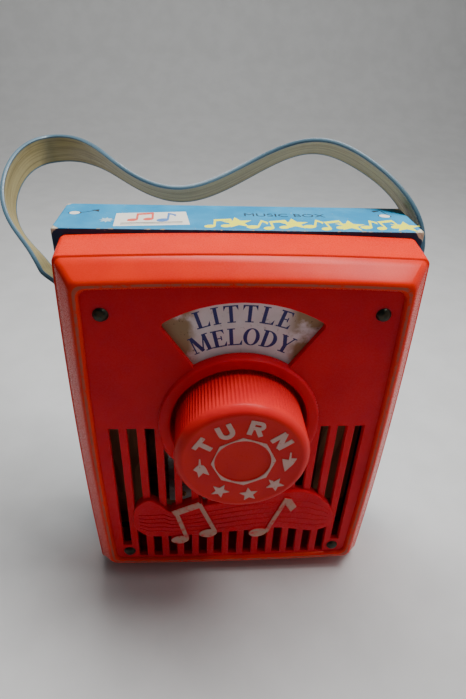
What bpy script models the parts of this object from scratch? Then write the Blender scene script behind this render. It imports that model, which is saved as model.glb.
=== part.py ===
"""Wind-up music box in the shape of a pocket radio.

A pine case frame under printed paper carries a moulded plastic front cover, a strap and a
clockwork movement whose winding arbor comes out through the cover into the knob.
Metres, +Z up, front towards -Y. The origin is on the floor, on the centre line, at the parting
plane between the wooden case and the front cover.
"""
import math

import bmesh
import bpy
import numpy as np
from mathutils import Vector

# ---------------------------------------------------------------- driving dimensions
CASE_WIDTH = 0.108
CASE_HEIGHT = 0.134
PAPER = 0.0003
FIT = 0.00005                 # gap between flat faces that touch
BOARD = 0.020                 # width of the pine strips, seen from the front
FRAME_FRONT = 0.00035
FRAME_BACK = 0.01885
PANEL_BACK = 0.0218
CASE_DEPTH = 0.02215

COVER_HALF_BACK = 0.0519
COVER_BOTTOM_BACK = 0.00205
COVER_TOP_BACK = 0.1320
COVER_BOW_SIDE = 0.0013       # how far each long edge curves outward
COVER_BOW_TOP = 0.0011
FACE_Y = -0.0186
INNER_FACE_Y = -0.0164
RIM_Y = -0.01975

KNOB_Z = 0.07735
KNOB_RADIUS = 0.0201
KNOB_FRONT = -0.0355
KNOB_BACK = -0.0125
WELL_RADIUS = 0.0216
WELL_WALL = 0.0016
WELL_FLOOR_FRONT = -0.0115
WELL_FLOOR_BACK = -0.0095
RING_RADIUS = 0.0252
RING_Y = -0.0200

WINDOW_OUTER = 0.0429
WINDOW_HALF_ANGLE = math.radians(33.5)

SLOTS = 15
SLOT_PITCH = 0.00565
SLOT_WIDTH = 0.0031
SLOT_TOP = 0.0754
SLOT_BOTTOM = 0.0104
SLOT_BOTTOM_AT_NAILS = 0.0172

NAIL_X = 0.039
NAIL_TOP_Z = 0.1166
NAIL_BOTTOM_Z = 0.01386
NAIL_SHANK = 0.0009
NAIL_HEAD = 0.0023

STRAP_WIDTH = 0.0125
STRAP_THICKNESS = 0.0020
STRAP_AXIS_Y = 0.011
STRAP_AXIS_Z = 0.10535
STRAP_TAIL = 0.008            # strap beyond the nail
STRAP_FLAT = 5                # mm from the nail that the strap lies flat on the case's side

# The movement's plates and axes; x and z of each arbor, seen from the front.
BEDPLATE_FRONT, BEDPLATE_BACK = -0.0060, -0.0050
REAR_PLATE_FRONT, REAR_PLATE_BACK = 0.0150, 0.0160
MAIN_TEETH, CYLINDER_PINION_TEETH = 60, 16
CYLINDER_WHEEL_TEETH, GOVERNOR_PINION_TEETH = 48, 10
GOVERNOR_WHEEL_TEETH, FAN_PINION_TEETH = 40, 10
MAIN_MODULE, FINE_MODULE = 0.0006, 0.0005
MAIN_TO_CYLINDER = math.radians(233)
CYLINDER_TO_GOVERNOR = math.radians(-26)
GOVERNOR_TO_FAN = math.radians(-10)
DRUM_RADIUS = 0.0068
PIN_HEIGHT = 0.0005
COMB_GAP = 0.00015


# ---------------------------------------------------------------- the scene
for old in list(bpy.data.objects):
    bpy.data.objects.remove(old, do_unlink=True)
PARTS = bpy.data.collections.new("music_box")
CUTTERS = bpy.data.collections.new("cutters")
bpy.context.scene.collection.children.link(PARTS)
bpy.context.scene.collection.children.link(CUTTERS)


def material(name, colour, roughness, metallic=0.0):
    made = bpy.data.materials.new(name)
    made.use_nodes = True
    shader = made.node_tree.nodes["Principled BSDF"]
    shader.inputs["Base Color"].default_value = (*colour, 1.0)
    shader.inputs["Roughness"].default_value = roughness
    shader.inputs["Metallic"].default_value = metallic
    made.diffuse_color = (*colour, 1.0)
    return made


RED_PLASTIC = material("red_plastic", (0.55, 0.02, 0.012), 0.28)
KNOB_PLASTIC = material("knob_plastic", (0.62, 0.035, 0.012), 0.3)
PINE = material("pine", (0.66, 0.47, 0.27), 0.7)
HARDBOARD = material("hardboard", (0.30, 0.19, 0.10), 0.8)
BLUE_PAPER = material("blue_paper", (0.22, 0.50, 0.72), 0.6)
CARD = material("card", (0.78, 0.72, 0.60), 0.8)
STRAP_VINYL = material("strap_vinyl", (0.62, 0.60, 0.48), 0.5)
DARK_STEEL = material("dark_steel", (0.08, 0.075, 0.07), 0.45, 0.9)
STEEL = material("steel", (0.60, 0.60, 0.60), 0.3, 1.0)
BRASS = material("brass", (0.78, 0.57, 0.22), 0.3, 1.0)
SPRING_STEEL = material("spring_steel", (0.20, 0.25, 0.38), 0.3, 1.0)


# ---------------------------------------------------------------- making pieces
def link(name, data, finish=None, place=(0.0, 0.0, 0.0), turn=(0.0, 0.0, 0.0), group=PARTS):
    piece = bpy.data.objects.new(name, data)
    piece.location = place
    piece.rotation_euler = turn
    group.objects.link(piece)
    if finish:
        data.materials.append(finish)
    if group is CUTTERS:
        piece.hide_render = True
        piece.display_type = "WIRE"
    return piece


def as_mesh(piece):
    """Turn a curve or modified object into a plain mesh with welded caps."""
    bpy.context.view_layer.update()
    graph = bpy.context.evaluated_depsgraph_get()
    mesh = bpy.data.meshes.new_from_object(piece.evaluated_get(graph))
    work = bmesh.new()
    work.from_mesh(mesh)
    bmesh.ops.remove_doubles(work, verts=work.verts, dist=1e-6)
    bmesh.ops.recalc_face_normals(work, faces=work.faces)
    work.to_mesh(mesh)
    work.free()
    name, group, matrix = piece.name, piece.users_collection[0], piece.matrix_world.copy()
    bpy.data.objects.remove(piece, do_unlink=True)
    made = link(name, mesh, group=group)
    made.matrix_world = matrix
    return made


def combine(piece, tool, operation="DIFFERENCE"):
    step = piece.modifiers.new(f"{operation.lower()}_{tool.name}", "BOOLEAN")
    step.operation = operation
    step.object = tool
    step.solver = "EXACT"
    return piece


FACE_ON = (math.pi / 2, 0.0, 0.0)            # local z points to the front, -Y
EDGE_ON = (math.pi / 2, 0.0, math.pi / 2)    # local z points to +X, local x to +Y


def plate(name, outlines, front, back, finish=None, centre=(0.0, 0.0), group=PARTS):
    """A flat piece parallel to the face: one outline and its holes, between two y planes."""
    return flat(name, outlines, back - front, finish,
                (centre[0], (front + back) / 2, centre[1]), FACE_ON, group)


def flat(name, outlines, thickness, finish, place, turn, group=PARTS):
    sheet = bpy.data.curves.new(name, "CURVE")
    sheet.dimensions = "2D"
    sheet.fill_mode = "BOTH"
    sheet.extrude = thickness / 2
    for outline in outlines:
        spline = sheet.splines.new("POLY")
        spline.points.add(len(outline) - 1)
        for point, (across, up) in zip(spline.points, outline):
            point.co = (across, up, 0.0, 1.0)
        spline.use_cyclic_u = True
    return link(name, sheet, finish, place, turn, group)


def turned(name, profile, finish=None, centre=(0.0, 0.0), steps=24, closed=False, turn=FACE_ON,
           place=None, group=PARTS):
    """A turned piece: (radius, distance to the front) pairs, from the front down the outside."""
    mesh = bpy.data.meshes.new(name)
    count = len(profile)
    edges = [(i, i + 1) for i in range(count - 1)]
    if closed:
        edges.append((count - 1, 0))
    mesh.from_pydata([(radius, 0.0, ahead) for radius, ahead in profile], edges, [])
    where = place or (centre[0], 0.0, centre[1])
    piece = link(name, mesh, finish, where, turn, group)
    screw = piece.modifiers.new("turn", "SCREW")
    screw.axis = "Z"
    screw.steps = screw.render_steps = steps
    screw.use_merge_vertices = True
    screw.merge_threshold = 0.00001
    weld = piece.modifiers.new("weld", "WELD")
    weld.merge_threshold = 0.00001
    return piece


def rod(name, radius, front, back, finish=None, centre=(0.0, 0.0), steps=16, group=PARTS):
    """A plain round bar along Y. Cutters are spun a little so that no two share a facet edge."""
    spin = 0.0131 * (1 + len(CUTTERS.objects)) if group is CUTTERS else 0.0
    return turned(name, [(0.0, -front), (radius, -front), (radius, -back), (0.0, -back)],
                  finish, centre, steps, turn=(FACE_ON[0], spin, 0.0), group=group)


def box(name, low, high, finish=None, round_by=0.0, group=PARTS):
    size = [b - a for a, b in zip(low, high)]
    middle = [(a + b) / 2 for a, b in zip(low, high)]
    mesh = bpy.data.meshes.new(name)
    work = bmesh.new()
    bmesh.ops.create_cube(work, size=1.0)
    bmesh.ops.scale(work, vec=size, verts=work.verts)
    work.to_mesh(mesh)
    work.free()
    piece = link(name, mesh, finish, middle, group=group)
    if round_by:
        bevel = piece.modifiers.new("soft_edges", "BEVEL")
        bevel.width = round_by
        bevel.segments = 2
    return piece


def circle(radius, count=20, centre=(0.0, 0.0), start=0.0):
    return [(centre[0] + radius * math.cos(start + 2 * math.pi * i / count),
             centre[1] + radius * math.sin(start + 2 * math.pi * i / count)) for i in range(count)]


def fan_shape(inner, outer, half_angle, corner=0.0, steps=10):
    """A ring sector standing on the knob's axis, its bottom corners plain."""
    lower = [(inner * math.sin(a), inner * math.cos(a))
             for a in np.linspace(-half_angle, half_angle, steps)]
    trim = corner / outer
    upper = [(outer * math.sin(a), outer * math.cos(a))
             for a in np.linspace(half_angle - trim, -half_angle + trim, steps)]
    if not corner:
        return lower + upper
    side = outer - corner
    right = (side * math.sin(half_angle), side * math.cos(half_angle))
    return lower + [right] + upper + [(-right[0], right[1])]


def gear(teeth, module, phase, bore):
    """Tooth outline with straight flanks and working backlash, and its bore."""
    pitch = teeth * module / 2
    width = math.pi * module * 0.42 / pitch / 2
    rows = [(pitch - 1.2 * module, width * 1.7), (pitch + 0.85 * module, width * 0.5)]
    if teeth < 20:
        rows = [(pitch - 1.2 * module, width * 1.25), (pitch + 0.8 * module, width * 0.45)]
    outline = []
    for tooth in range(teeth):
        middle = phase + 2 * math.pi * tooth / teeth
        for radius, half in (rows[0], rows[1]):
            outline.append((radius * math.cos(middle - half), radius * math.sin(middle - half)))
        for radius, half in (rows[1], rows[0]):
            outline.append((radius * math.cos(middle + half), radius * math.sin(middle + half)))
    return [outline, circle(bore, 16)]


def offset(start, distance, angle):
    return (start[0] + distance * math.cos(angle), start[1] + distance * math.sin(angle))


def pair_distance(teeth_a, teeth_b, module):
    return (teeth_a + teeth_b) * module / 2


def bowed_outline(half_width, bottom, top, corner, bow_side, bow_top, bays=6):
    """A rectangle with rounded corners whose edges curve gently outward, counter-clockwise."""
    centre = (bottom + top) / 2
    half_height = (top - bottom) / 2
    points = []
    for quarter, (sx, sz) in enumerate([(1, -1), (1, 1), (-1, 1), (-1, -1)]):
        start = math.radians(-90 + 90 * quarter)
        for step in range(4):
            angle = start + math.radians(30 * step)
            points.append((sx * (half_width - corner) + corner * math.cos(angle),
                           sz * (half_height - corner) + corner * math.sin(angle)))
        along_side = quarter % 2 == 0
        reach = (half_height if along_side else half_width) - corner
        for step in range(1, bays):
            travel = reach * (2 * step / bays - 1)
            if along_side:
                points.append((sx * half_width, travel if sx > 0 else -travel))
            else:
                points.append((-travel if sz > 0 else travel, sz * half_height))
    bowed = []
    for across, up in points:
        side = bow_side * (1 - (up / half_height) ** 2) * (across / half_width)
        rise = bow_top * (1 - (across / half_width) ** 2) * (up / half_height)
        bowed.append((across + side, centre + up + rise))
    return bowed


def loft(name, rings, finish=None, group=PARTS):
    """A closed solid through outlines with equal point counts: (y, outline) pairs, back to front."""
    mesh = bpy.data.meshes.new(name)
    work = bmesh.new()
    loops = [[work.verts.new((x, y, z)) for x, z in outline] for y, outline in rings]
    for near, far in zip(loops, loops[1:]):
        for i, corner in enumerate(near):
            after = (i + 1) % len(near)
            work.faces.new((corner, near[after], far[after], far[i]))
    work.faces.new(loops[0])
    work.faces.new(loops[-1])
    bmesh.ops.recalc_face_normals(work, faces=work.faces)
    work.to_mesh(mesh)
    work.free()
    return link(name, mesh, finish, group=group)


def smooth(values, count):
    """A natural cubic spline through equally spaced values, read at count points."""
    last = len(values) - 1
    matrix = np.eye(last + 1)
    right = np.zeros(last + 1)
    for i in range(1, last):
        matrix[i, i - 1:i + 2] = (1, 4, 1)
        right[i] = 6 * (values[i - 1] - 2 * values[i] + values[i + 1])
    curve = np.linalg.solve(matrix, right)
    read = []
    for place in np.linspace(0, last, count):
        i = min(int(place), last - 1)
        b = place - i
        a = 1 - b
        read.append(a * values[i] + b * values[i + 1]
                    + ((a ** 3 - a) * curve[i] + (b ** 3 - b) * curve[i + 1]) / 6)
    return read


# ---------------------------------------------------------------- the wooden case
def make_case():
    half = CASE_WIDTH / 2 - PAPER - FIT
    low, high = PAPER + FIT, CASE_HEIGHT - PAPER - FIT
    side_low, side_high = low + BOARD + FIT, high - BOARD - FIT
    boards = {
        "case_top_board": ((-half, FRAME_FRONT, high - BOARD), (half, FRAME_BACK, high)),
        "case_bottom_board": ((-half, FRAME_FRONT, low), (half, FRAME_BACK, low + BOARD)),
        "case_left_board": ((-half, FRAME_FRONT, side_low), (BOARD - half, FRAME_BACK, side_high)),
        "case_right_board": ((half - BOARD, FRAME_FRONT, side_low), (half, FRAME_BACK, side_high)),
    }
    made = {name: box(name, *corners, PINE) for name, corners in boards.items()}
    panel = box("back_panel", (-half, FRAME_BACK + FIT, low), (half, PANEL_BACK, high), HARDBOARD)
    return made, panel


def make_papers():
    half = CASE_WIDTH / 2
    wrap = box("case_paper", (-half, 0.0, 0.0), (half, PANEL_BACK, CASE_HEIGHT), BLUE_PAPER)
    inside = box("paper_inside", (PAPER - half, PAPER, PAPER),
                 (half - PAPER, PANEL_BACK + 0.005, CASE_HEIGHT - PAPER), group=CUTTERS)
    margin = 0.0065                      # width of the fold glued to the frame's front
    fold = box("paper_fold", (margin - half, -0.001, margin),
               (half - margin, 0.001, CASE_HEIGHT - margin), group=CUTTERS)
    combine(combine(wrap, inside), fold)
    sheet = box("back_paper", (PAPER + FIT - half, PANEL_BACK + FIT, PAPER + FIT),
                (half - PAPER - FIT, CASE_DEPTH, CASE_HEIGHT - PAPER - FIT), BLUE_PAPER)
    return wrap, sheet


# ---------------------------------------------------------------- the front cover
def cover_outline(inset, corner):
    return bowed_outline(COVER_HALF_BACK - inset, COVER_BOTTOM_BACK + inset,
                         COVER_TOP_BACK - inset, corner, COVER_BOW_SIDE, COVER_BOW_TOP)


def make_cover():
    wall = 0.0022
    cover = loft("front_cover", [
        (-FIT, cover_outline(0.0, 0.0020)),
        (-0.0133, cover_outline(0.0008, 0.0020)),
        (-0.0138, cover_outline(0.0014, 0.0020)),
        (-0.0190, cover_outline(0.0052, 0.0022)),
        (RIM_Y, cover_outline(0.0060, 0.0024)),
        (RIM_Y, cover_outline(0.0078, 0.0025)),
        (FACE_Y, cover_outline(0.0083, 0.0026)),
    ], RED_PLASTIC)
    hollow = loft("cover_hollow", [
        (0.002, cover_outline(wall, 0.0012)),
        (-0.0132, cover_outline(wall + 0.0008, 0.0012)),
        (INNER_FACE_Y, cover_outline(wall + 0.0050, 0.0014)),
    ], group=CUTTERS)
    combine(cover, hollow)
    axis = (0.0, KNOB_Z)

    ring = rod("knob_ring", RING_RADIUS, RING_Y, INNER_FACE_Y - 0.0006, centre=axis, steps=64,
               group=CUTTERS)
    cup = rod("knob_well", WELL_RADIUS + WELL_WALL, -0.0180, WELL_FLOOR_BACK, centre=axis,
              steps=64, group=CUTTERS)
    combine(combine(cover, ring, "UNION"), cup, "UNION")
    for index, (x, z) in enumerate(nail_places()):
        boss = rod(f"nail_boss_{index}", 0.0030, INNER_FACE_Y - 0.0005, -0.0004, centre=(x, z),
                   group=CUTTERS)
        combine(cover, boss, "UNION")
    for index, place in enumerate(MOUNT_PLACES):
        boss = rod(f"mount_boss_{index}", 0.0028, INNER_FACE_Y - 0.0005, BEDPLATE_FRONT - FIT,
                   centre=place, group=CUTTERS)
        combine(cover, boss, "UNION")

    combine(cover, grille_cutter())
    combine(cover, as_mesh(plate("ribbon", [ribbon_outline()], -0.0198, INNER_FACE_Y + 0.0003,
                                 group=CUTTERS)), "UNION")
    for index, shape in enumerate(note_outlines()):
        step = 0.00003 * index           # no two strokes of a note share a plane
        note = as_mesh(plate(f"note_{index}", [shape], RING_Y - 0.0004 + step,
                             INNER_FACE_Y + 0.0006 + step, group=CUTTERS))
        combine(cover, note, "UNION")

    window_inner = RING_RADIUS - 0.0004   # cuts a little into the ring's flank
    window = as_mesh(plate("song_window", [fan_shape(window_inner, WINDOW_OUTER,
                                                     WINDOW_HALF_ANGLE, 0.0016)],
                           -0.030, INNER_FACE_Y + 0.0004, centre=axis, group=CUTTERS))
    combine(cover, window)
    pit = rod("well_pit", WELL_RADIUS, -0.030, WELL_FLOOR_FRONT, centre=axis, steps=64,
              group=CUTTERS)
    combine(cover, pit)
    bore = rod("well_bore", 0.0024, -0.020, 0.0, centre=axis, group=CUTTERS)
    combine(cover, bore)
    for index, place in enumerate(nail_places()):
        hole = rod(f"face_nail_hole_{index}", NAIL_SHANK + 0.0003, -0.030, 0.010, centre=place,
                   steps=12, group=CUTTERS)
        combine(cover, hole)
    for index, place in enumerate(MOUNT_PLACES):
        hole = rod(f"mount_hole_{index}", 0.0012, -0.0145, 0.010, centre=place, steps=12,
                   group=CUTTERS)
        combine(cover, hole)
    return cover


def nail_places():
    return [(sx * NAIL_X, z) for z in (NAIL_TOP_Z, NAIL_BOTTOM_Z) for sx in (-1, 1)]


def grille_cutter():
    """Fifteen upright slots, stopped short of the knob's ring and of the lower nails."""
    bars = []
    for index in range(SLOTS):
        x = (index - SLOTS // 2) * SLOT_PITCH
        outer = index in (0, SLOTS - 1)
        bottom = SLOT_BOTTOM_AT_NAILS if outer else SLOT_BOTTOM
        half = SLOT_WIDTH / 2
        bars.append([(x - half, bottom), (x + half, bottom), (x + half, SLOT_TOP),
                     (x - half, SLOT_TOP)])
    slots = as_mesh(plate("grille_slots", bars, -0.030, INNER_FACE_Y + 0.001, group=CUTTERS))
    keep = rod("ring_margin", RING_RADIUS + 0.0012, -0.040, 0.0, centre=(0.0, KNOB_Z), steps=64,
               group=CUTTERS)
    return combine(slots, keep)


def ribbon_outline():
    """The wavy music ribbon across the lower grille: a top edge and a bottom edge."""
    top = [(-36.3, 32), (-35, 39), (-30.5, 43.2), (-26.5, 40.5), (-23, 37), (-18, 37.5), (-10, 40),
           (0, 42), (10, 44), (20, 46), (27, 45), (32, 41), (35.5, 36), (36.6, 31)]
    bottom = [(35, 26.5), (30, 24.3), (23, 25.5), (15, 26.6), (6, 25.6), (-4, 24.8), (-14, 23.8),
              (-24, 23.3), (-31, 23.8), (-35, 27)]
    return [(x / 1000, z / 1000) for x, z in reversed(top + bottom)]


def ellipse(centre, wide, tall, tilt, count=14):
    shape = []
    for across, up in circle(1.0, count):
        a, b = across * wide / 2, up * tall / 2
        shape.append((centre[0] + a * math.cos(tilt) - b * math.sin(tilt),
                      centre[1] + a * math.sin(tilt) + b * math.cos(tilt)))
    return shape


def bar(start, end, width):
    a, b = Vector(start), Vector(end)
    side = (b - a).orthogonal().normalized() * width / 2
    return [tuple(a + side), tuple(a - side), tuple(b - side), tuple(b + side)]


def note_outlines():
    """Two beamed notes and a single one, leaning over the ribbon."""
    tilt = math.radians(12)
    head = (0.0068, 0.0046)
    return [
        ellipse((-0.0197, 0.0219), *head, tilt), ellipse((-0.0094, 0.0252), *head, tilt),
        ellipse((0.0090, 0.0248), *head, tilt),
        bar((-0.0210, 0.0378), (-0.0172, 0.0228), 0.0016),
        bar((-0.0126, 0.0415), (-0.0068, 0.0260), 0.0016),
        bar((-0.0219, 0.0366), (-0.0122, 0.0412), 0.0030),
        bar((0.0120, 0.0250), (0.0182, 0.0428), 0.0016),
        [(0.0178, 0.0430), (0.0208, 0.0410), (0.0214, 0.0372), (0.0202, 0.0355), (0.0188, 0.0385)],
    ]


def make_song_card():
    return plate("song_card", [fan_shape(0.0240, 0.0455, math.radians(38))],
                 INNER_FACE_Y + FIT, INNER_FACE_Y + FIT + PAPER, CARD, centre=(0.0, KNOB_Z))


# ---------------------------------------------------------------- nails
def nail(name, length, head, place, turn, finish=DARK_STEEL):
    """A domed nail whose head sits at local z = 0 and whose shank points to local -z."""
    profile = [(0.0, 0.0012), (head * 0.6, 0.0010), (head * 0.95, 0.0004), (head, 0.0),
               (NAIL_SHANK, 0.0), (NAIL_SHANK, 0.0018 - length), (0.0, -length)]
    return turned(name, profile, finish, steps=12, turn=turn, place=place)


def nail_hole(name, place, turn, depth, piece, radius=NAIL_SHANK + 0.0002):
    hole = turned(name, [(0.0, 0.003), (radius, 0.003), (radius, -depth), (0.0, -depth)],
                  steps=12, turn=turn, place=place, group=CUTTERS)
    return combine(piece, hole)


def make_nails(boards, panel, wrap, sheet):
    top_bottom = {NAIL_TOP_Z: boards["case_top_board"], NAIL_BOTTOM_Z: boards["case_bottom_board"]}
    for index, (x, z) in enumerate(nail_places(), 1):
        place = (x, FACE_Y - 0.00005, z)
        nail(f"cover_nail_{index}", 0.031, NAIL_HEAD, place, FACE_ON)
        nail_hole(f"board_hole_{index}", place, FACE_ON, 0.0315, top_bottom[z])

    rear = (-math.pi / 2, 0.0, 0.0)
    for index, (sx, z) in enumerate([(-1, 0.008), (1, 0.008), (-1, 0.126), (1, 0.126)], 1):
        place = (sx * 0.0465, CASE_DEPTH + FIT, z)
        nail(f"back_nail_{index}", 0.014, 0.0022, place, rear)
        board = boards["case_bottom_board" if z < CASE_HEIGHT / 2 else "case_top_board"]
        for target, piece in (("board", board), ("panel", panel), ("sheet", sheet)):
            nail_hole(f"back_hole_{target}_{index}", place, rear, 0.0145, piece)

    upward = {1: (0.0, 0.0, 0.0), -1: (math.pi, 0.0, 0.0)}
    index = 0
    for end, board in ((1, "case_top_board"), (-1, "case_bottom_board")):
        for sx, side in ((-1, "case_left_board"), (1, "case_right_board")):
            index += 1
            sunk = PAPER + FIT + 0.0014
            z = CASE_HEIGHT - sunk if end > 0 else sunk
            place = (sx * 0.0437, 0.0050, z)
            frame_nail = nail(f"frame_nail_{index}", 0.034, 0.0016, place, upward[end])
            frame_nail.data.materials[0] = STEEL
            nail_hole(f"frame_hole_{index}", place, upward[end], 0.0345, boards[board])
            nail_hole(f"side_hole_{index}", place, upward[end], 0.0345, boards[side])
            nail_hole(f"sink_{index}", place, upward[end], 0.0002, boards[board], 0.0019)

    for sx, side, name in ((-1, "case_left_board", "left"), (1, "case_right_board", "right")):
        turn = (0.0, sx * math.pi / 2, 0.0)
        place = (sx * 0.05680, STRAP_AXIS_Y, STRAP_AXIS_Z)
        nail(f"strap_nail_{name}", 0.0155, 0.0025, place, turn)
        nail_hole(f"strap_board_hole_{name}", place, turn, 0.0160, boards[side])
        nail_hole(f"strap_paper_hole_{name}", place, turn, 0.0050, wrap)


# ---------------------------------------------------------------- the strap
# Route of the strap's middle line, chosen by hand: across the case in mm, distance from the
# nails' axis in mm, and how far that stretch leans back from upright in degrees.
STRAP_ROUTE = [(-55.5, 0, -3), (-66, 16, 32), (-77, 36.5, 45.5), (-71, 68.5, 60), (-51.5, 57.5, 50.5),
               (-36, 41.5, 35), (-16, 36.5, 37), (7, 47, 38.5), (25, 51.5, 30.5), (41.5, 45, 25),
               (58.4, 25, 16), (55.5, 0, 22)]


def strap_stations(count=57):
    """Middle points and width directions along the strap, with a flat tail beyond each nail."""
    across, reach, lean = (smooth([row[i] for row in STRAP_ROUTE], count) for i in range(3))
    stations = []
    for x, r, degrees in zip(across, reach, lean):
        angle = math.radians(degrees)
        free = min(max((r - STRAP_FLAT) / STRAP_FLAT, 0.0), 1.0)
        side = math.copysign(-STRAP_ROUTE[0][0], x)
        x = side + (x - side) * free if abs(x) > 50 and r < 2 * STRAP_FLAT else x
        middle = Vector((x, STRAP_AXIS_Y * 1000 + r * math.sin(angle),
                         STRAP_AXIS_Z * 1000 + r * math.cos(angle))) / 1000
        stations.append((middle, Vector((0.0, math.cos(angle), -math.sin(angle)))))
    for end in (0, -1):
        middle, width = stations[end]
        down = Vector((0.0, -math.sin(math.radians(STRAP_ROUTE[end][2])),
                       -math.cos(math.radians(STRAP_ROUTE[end][2]))))
        tail = (middle + down * STRAP_TAIL, width)
        if end == 0:
            stations.insert(0, tail)
        else:
            stations.append(tail)
    return stations


def make_strap():
    mesh = bpy.data.meshes.new("carry_strap")
    work = bmesh.new()
    stations = strap_stations()
    last = len(stations) - 1
    loops = []
    for index, (middle, width) in enumerate(stations):
        ahead = stations[min(index + 1, last)][0] - stations[max(index - 1, 0)][0]
        if index < 2 or index > last - 2:
            ahead = Vector((1.0, 0.0, 0.0)).cross(width) * (1.0 if index < 2 else -1.0)
        outward = ahead.normalized().cross(width).normalized()
        half_width = width * STRAP_WIDTH / 2 * (0.72 if index in (0, last) else 1.0)
        half_depth = outward * STRAP_THICKNESS / 2
        loops.append([work.verts.new(middle + a * half_width + b * half_depth)
                      for a, b in ((-1, -1), (1, -1), (1, 1), (-1, 1))])
    for near, far in zip(loops, loops[1:]):
        for i in range(4):
            after = (i + 1) % 4
            work.faces.new((near[i], near[after], far[after], far[i]))
    work.faces.new(loops[0])
    work.faces.new(loops[-1])
    bmesh.ops.recalc_face_normals(work, faces=work.faces)
    bmesh.ops.translate(work, verts=work.verts, vec=(0.0, -STRAP_AXIS_Y, -STRAP_AXIS_Z))
    work.to_mesh(mesh)
    work.free()
    pivot = bpy.data.objects.new("strap_axis", None)
    pivot.location = (0.0, STRAP_AXIS_Y, STRAP_AXIS_Z)
    PARTS.objects.link(pivot)
    strap = link("carry_strap", mesh, STRAP_VINYL)
    strap.parent = pivot
    for sx, name in ((-1, "left"), (1, "right")):
        turn = (0.0, sx * math.pi / 2, 0.0)
        place = (sx * 0.05680, STRAP_AXIS_Y, STRAP_AXIS_Z)
        nail_hole(f"strap_hole_{name}", place, turn, 0.0045, strap, NAIL_SHANK + 0.0003)
    return strap


# ---------------------------------------------------------------- knob and clockwork
ARBOR = (0.0, KNOB_Z)
CYLINDER = offset(ARBOR, pair_distance(MAIN_TEETH, CYLINDER_PINION_TEETH, MAIN_MODULE),
                  MAIN_TO_CYLINDER)
GOVERNOR = offset(CYLINDER, pair_distance(CYLINDER_WHEEL_TEETH, GOVERNOR_PINION_TEETH, FINE_MODULE),
                  CYLINDER_TO_GOVERNOR)
FAN = offset(GOVERNOR, pair_distance(GOVERNOR_WHEEL_TEETH, FAN_PINION_TEETH, FINE_MODULE),
             GOVERNOR_TO_FAN)
MOUNT_PLACES = [(-0.028, 0.088), (0.028, 0.088), (-0.009, 0.032), (0.013, 0.032)]
PILLAR_PLACES = [(-0.024, 0.0895), (0.024, 0.0895), (0.0145, 0.0385), (-0.0190, 0.0305)]


def make_knob():
    """A deep cap with a hub for the arbor; the ribs and the raised marks are fine surface."""
    knob = turned("winding_knob", [
        (0.0, -KNOB_FRONT), (0.0186, -KNOB_FRONT), (0.0196, 0.0351), (KNOB_RADIUS, 0.0342),
        (KNOB_RADIUS, -KNOB_BACK), (0.0180, -KNOB_BACK), (0.0180, 0.0330), (0.0042, 0.0330),
        (0.0042, 0.0140), (0.00155, 0.0140), (0.00155, 0.0325), (0.0, 0.0325),
    ], KNOB_PLASTIC, ARBOR, steps=64)
    turned("winding_arbor", [
        (0.0, 0.0320), (0.0012, 0.0320), (0.0015, 0.0317), (0.0015, -0.0148), (0.0010, -0.0148),
        (0.0010, -0.0160), (0.0, -0.0160),
    ], STEEL, ARBOR, steps=20)
    return knob


def make_spring():
    turned("spring_housing", [
        (0.0145, 0.0015), (0.0145, -0.0116), (0.0050, -0.0116), (0.0050, -0.01495),
        (0.0018, -0.01495), (0.0018, -0.0108), (0.0139, -0.0108), (0.0139, 0.0015),
    ], STEEL, ARBOR, steps=40, closed=True)
    turns, start, stop, thick = 6.5, 0.0017, 0.0132, 0.0004
    count = 90
    inner, outer = [], []
    for step in range(count + 1):
        share = step / count
        angle = 2 * math.pi * turns * share
        radius = start + (stop - start) * share ** 0.8
        inner.append((radius * math.cos(angle), radius * math.sin(angle)))
        outer.append(((radius + thick) * math.cos(angle), (radius + thick) * math.sin(angle)))
    plate("mainspring", [outer + inner[::-1]], -0.0005, 0.0100, SPRING_STEEL, ARBOR)


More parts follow.
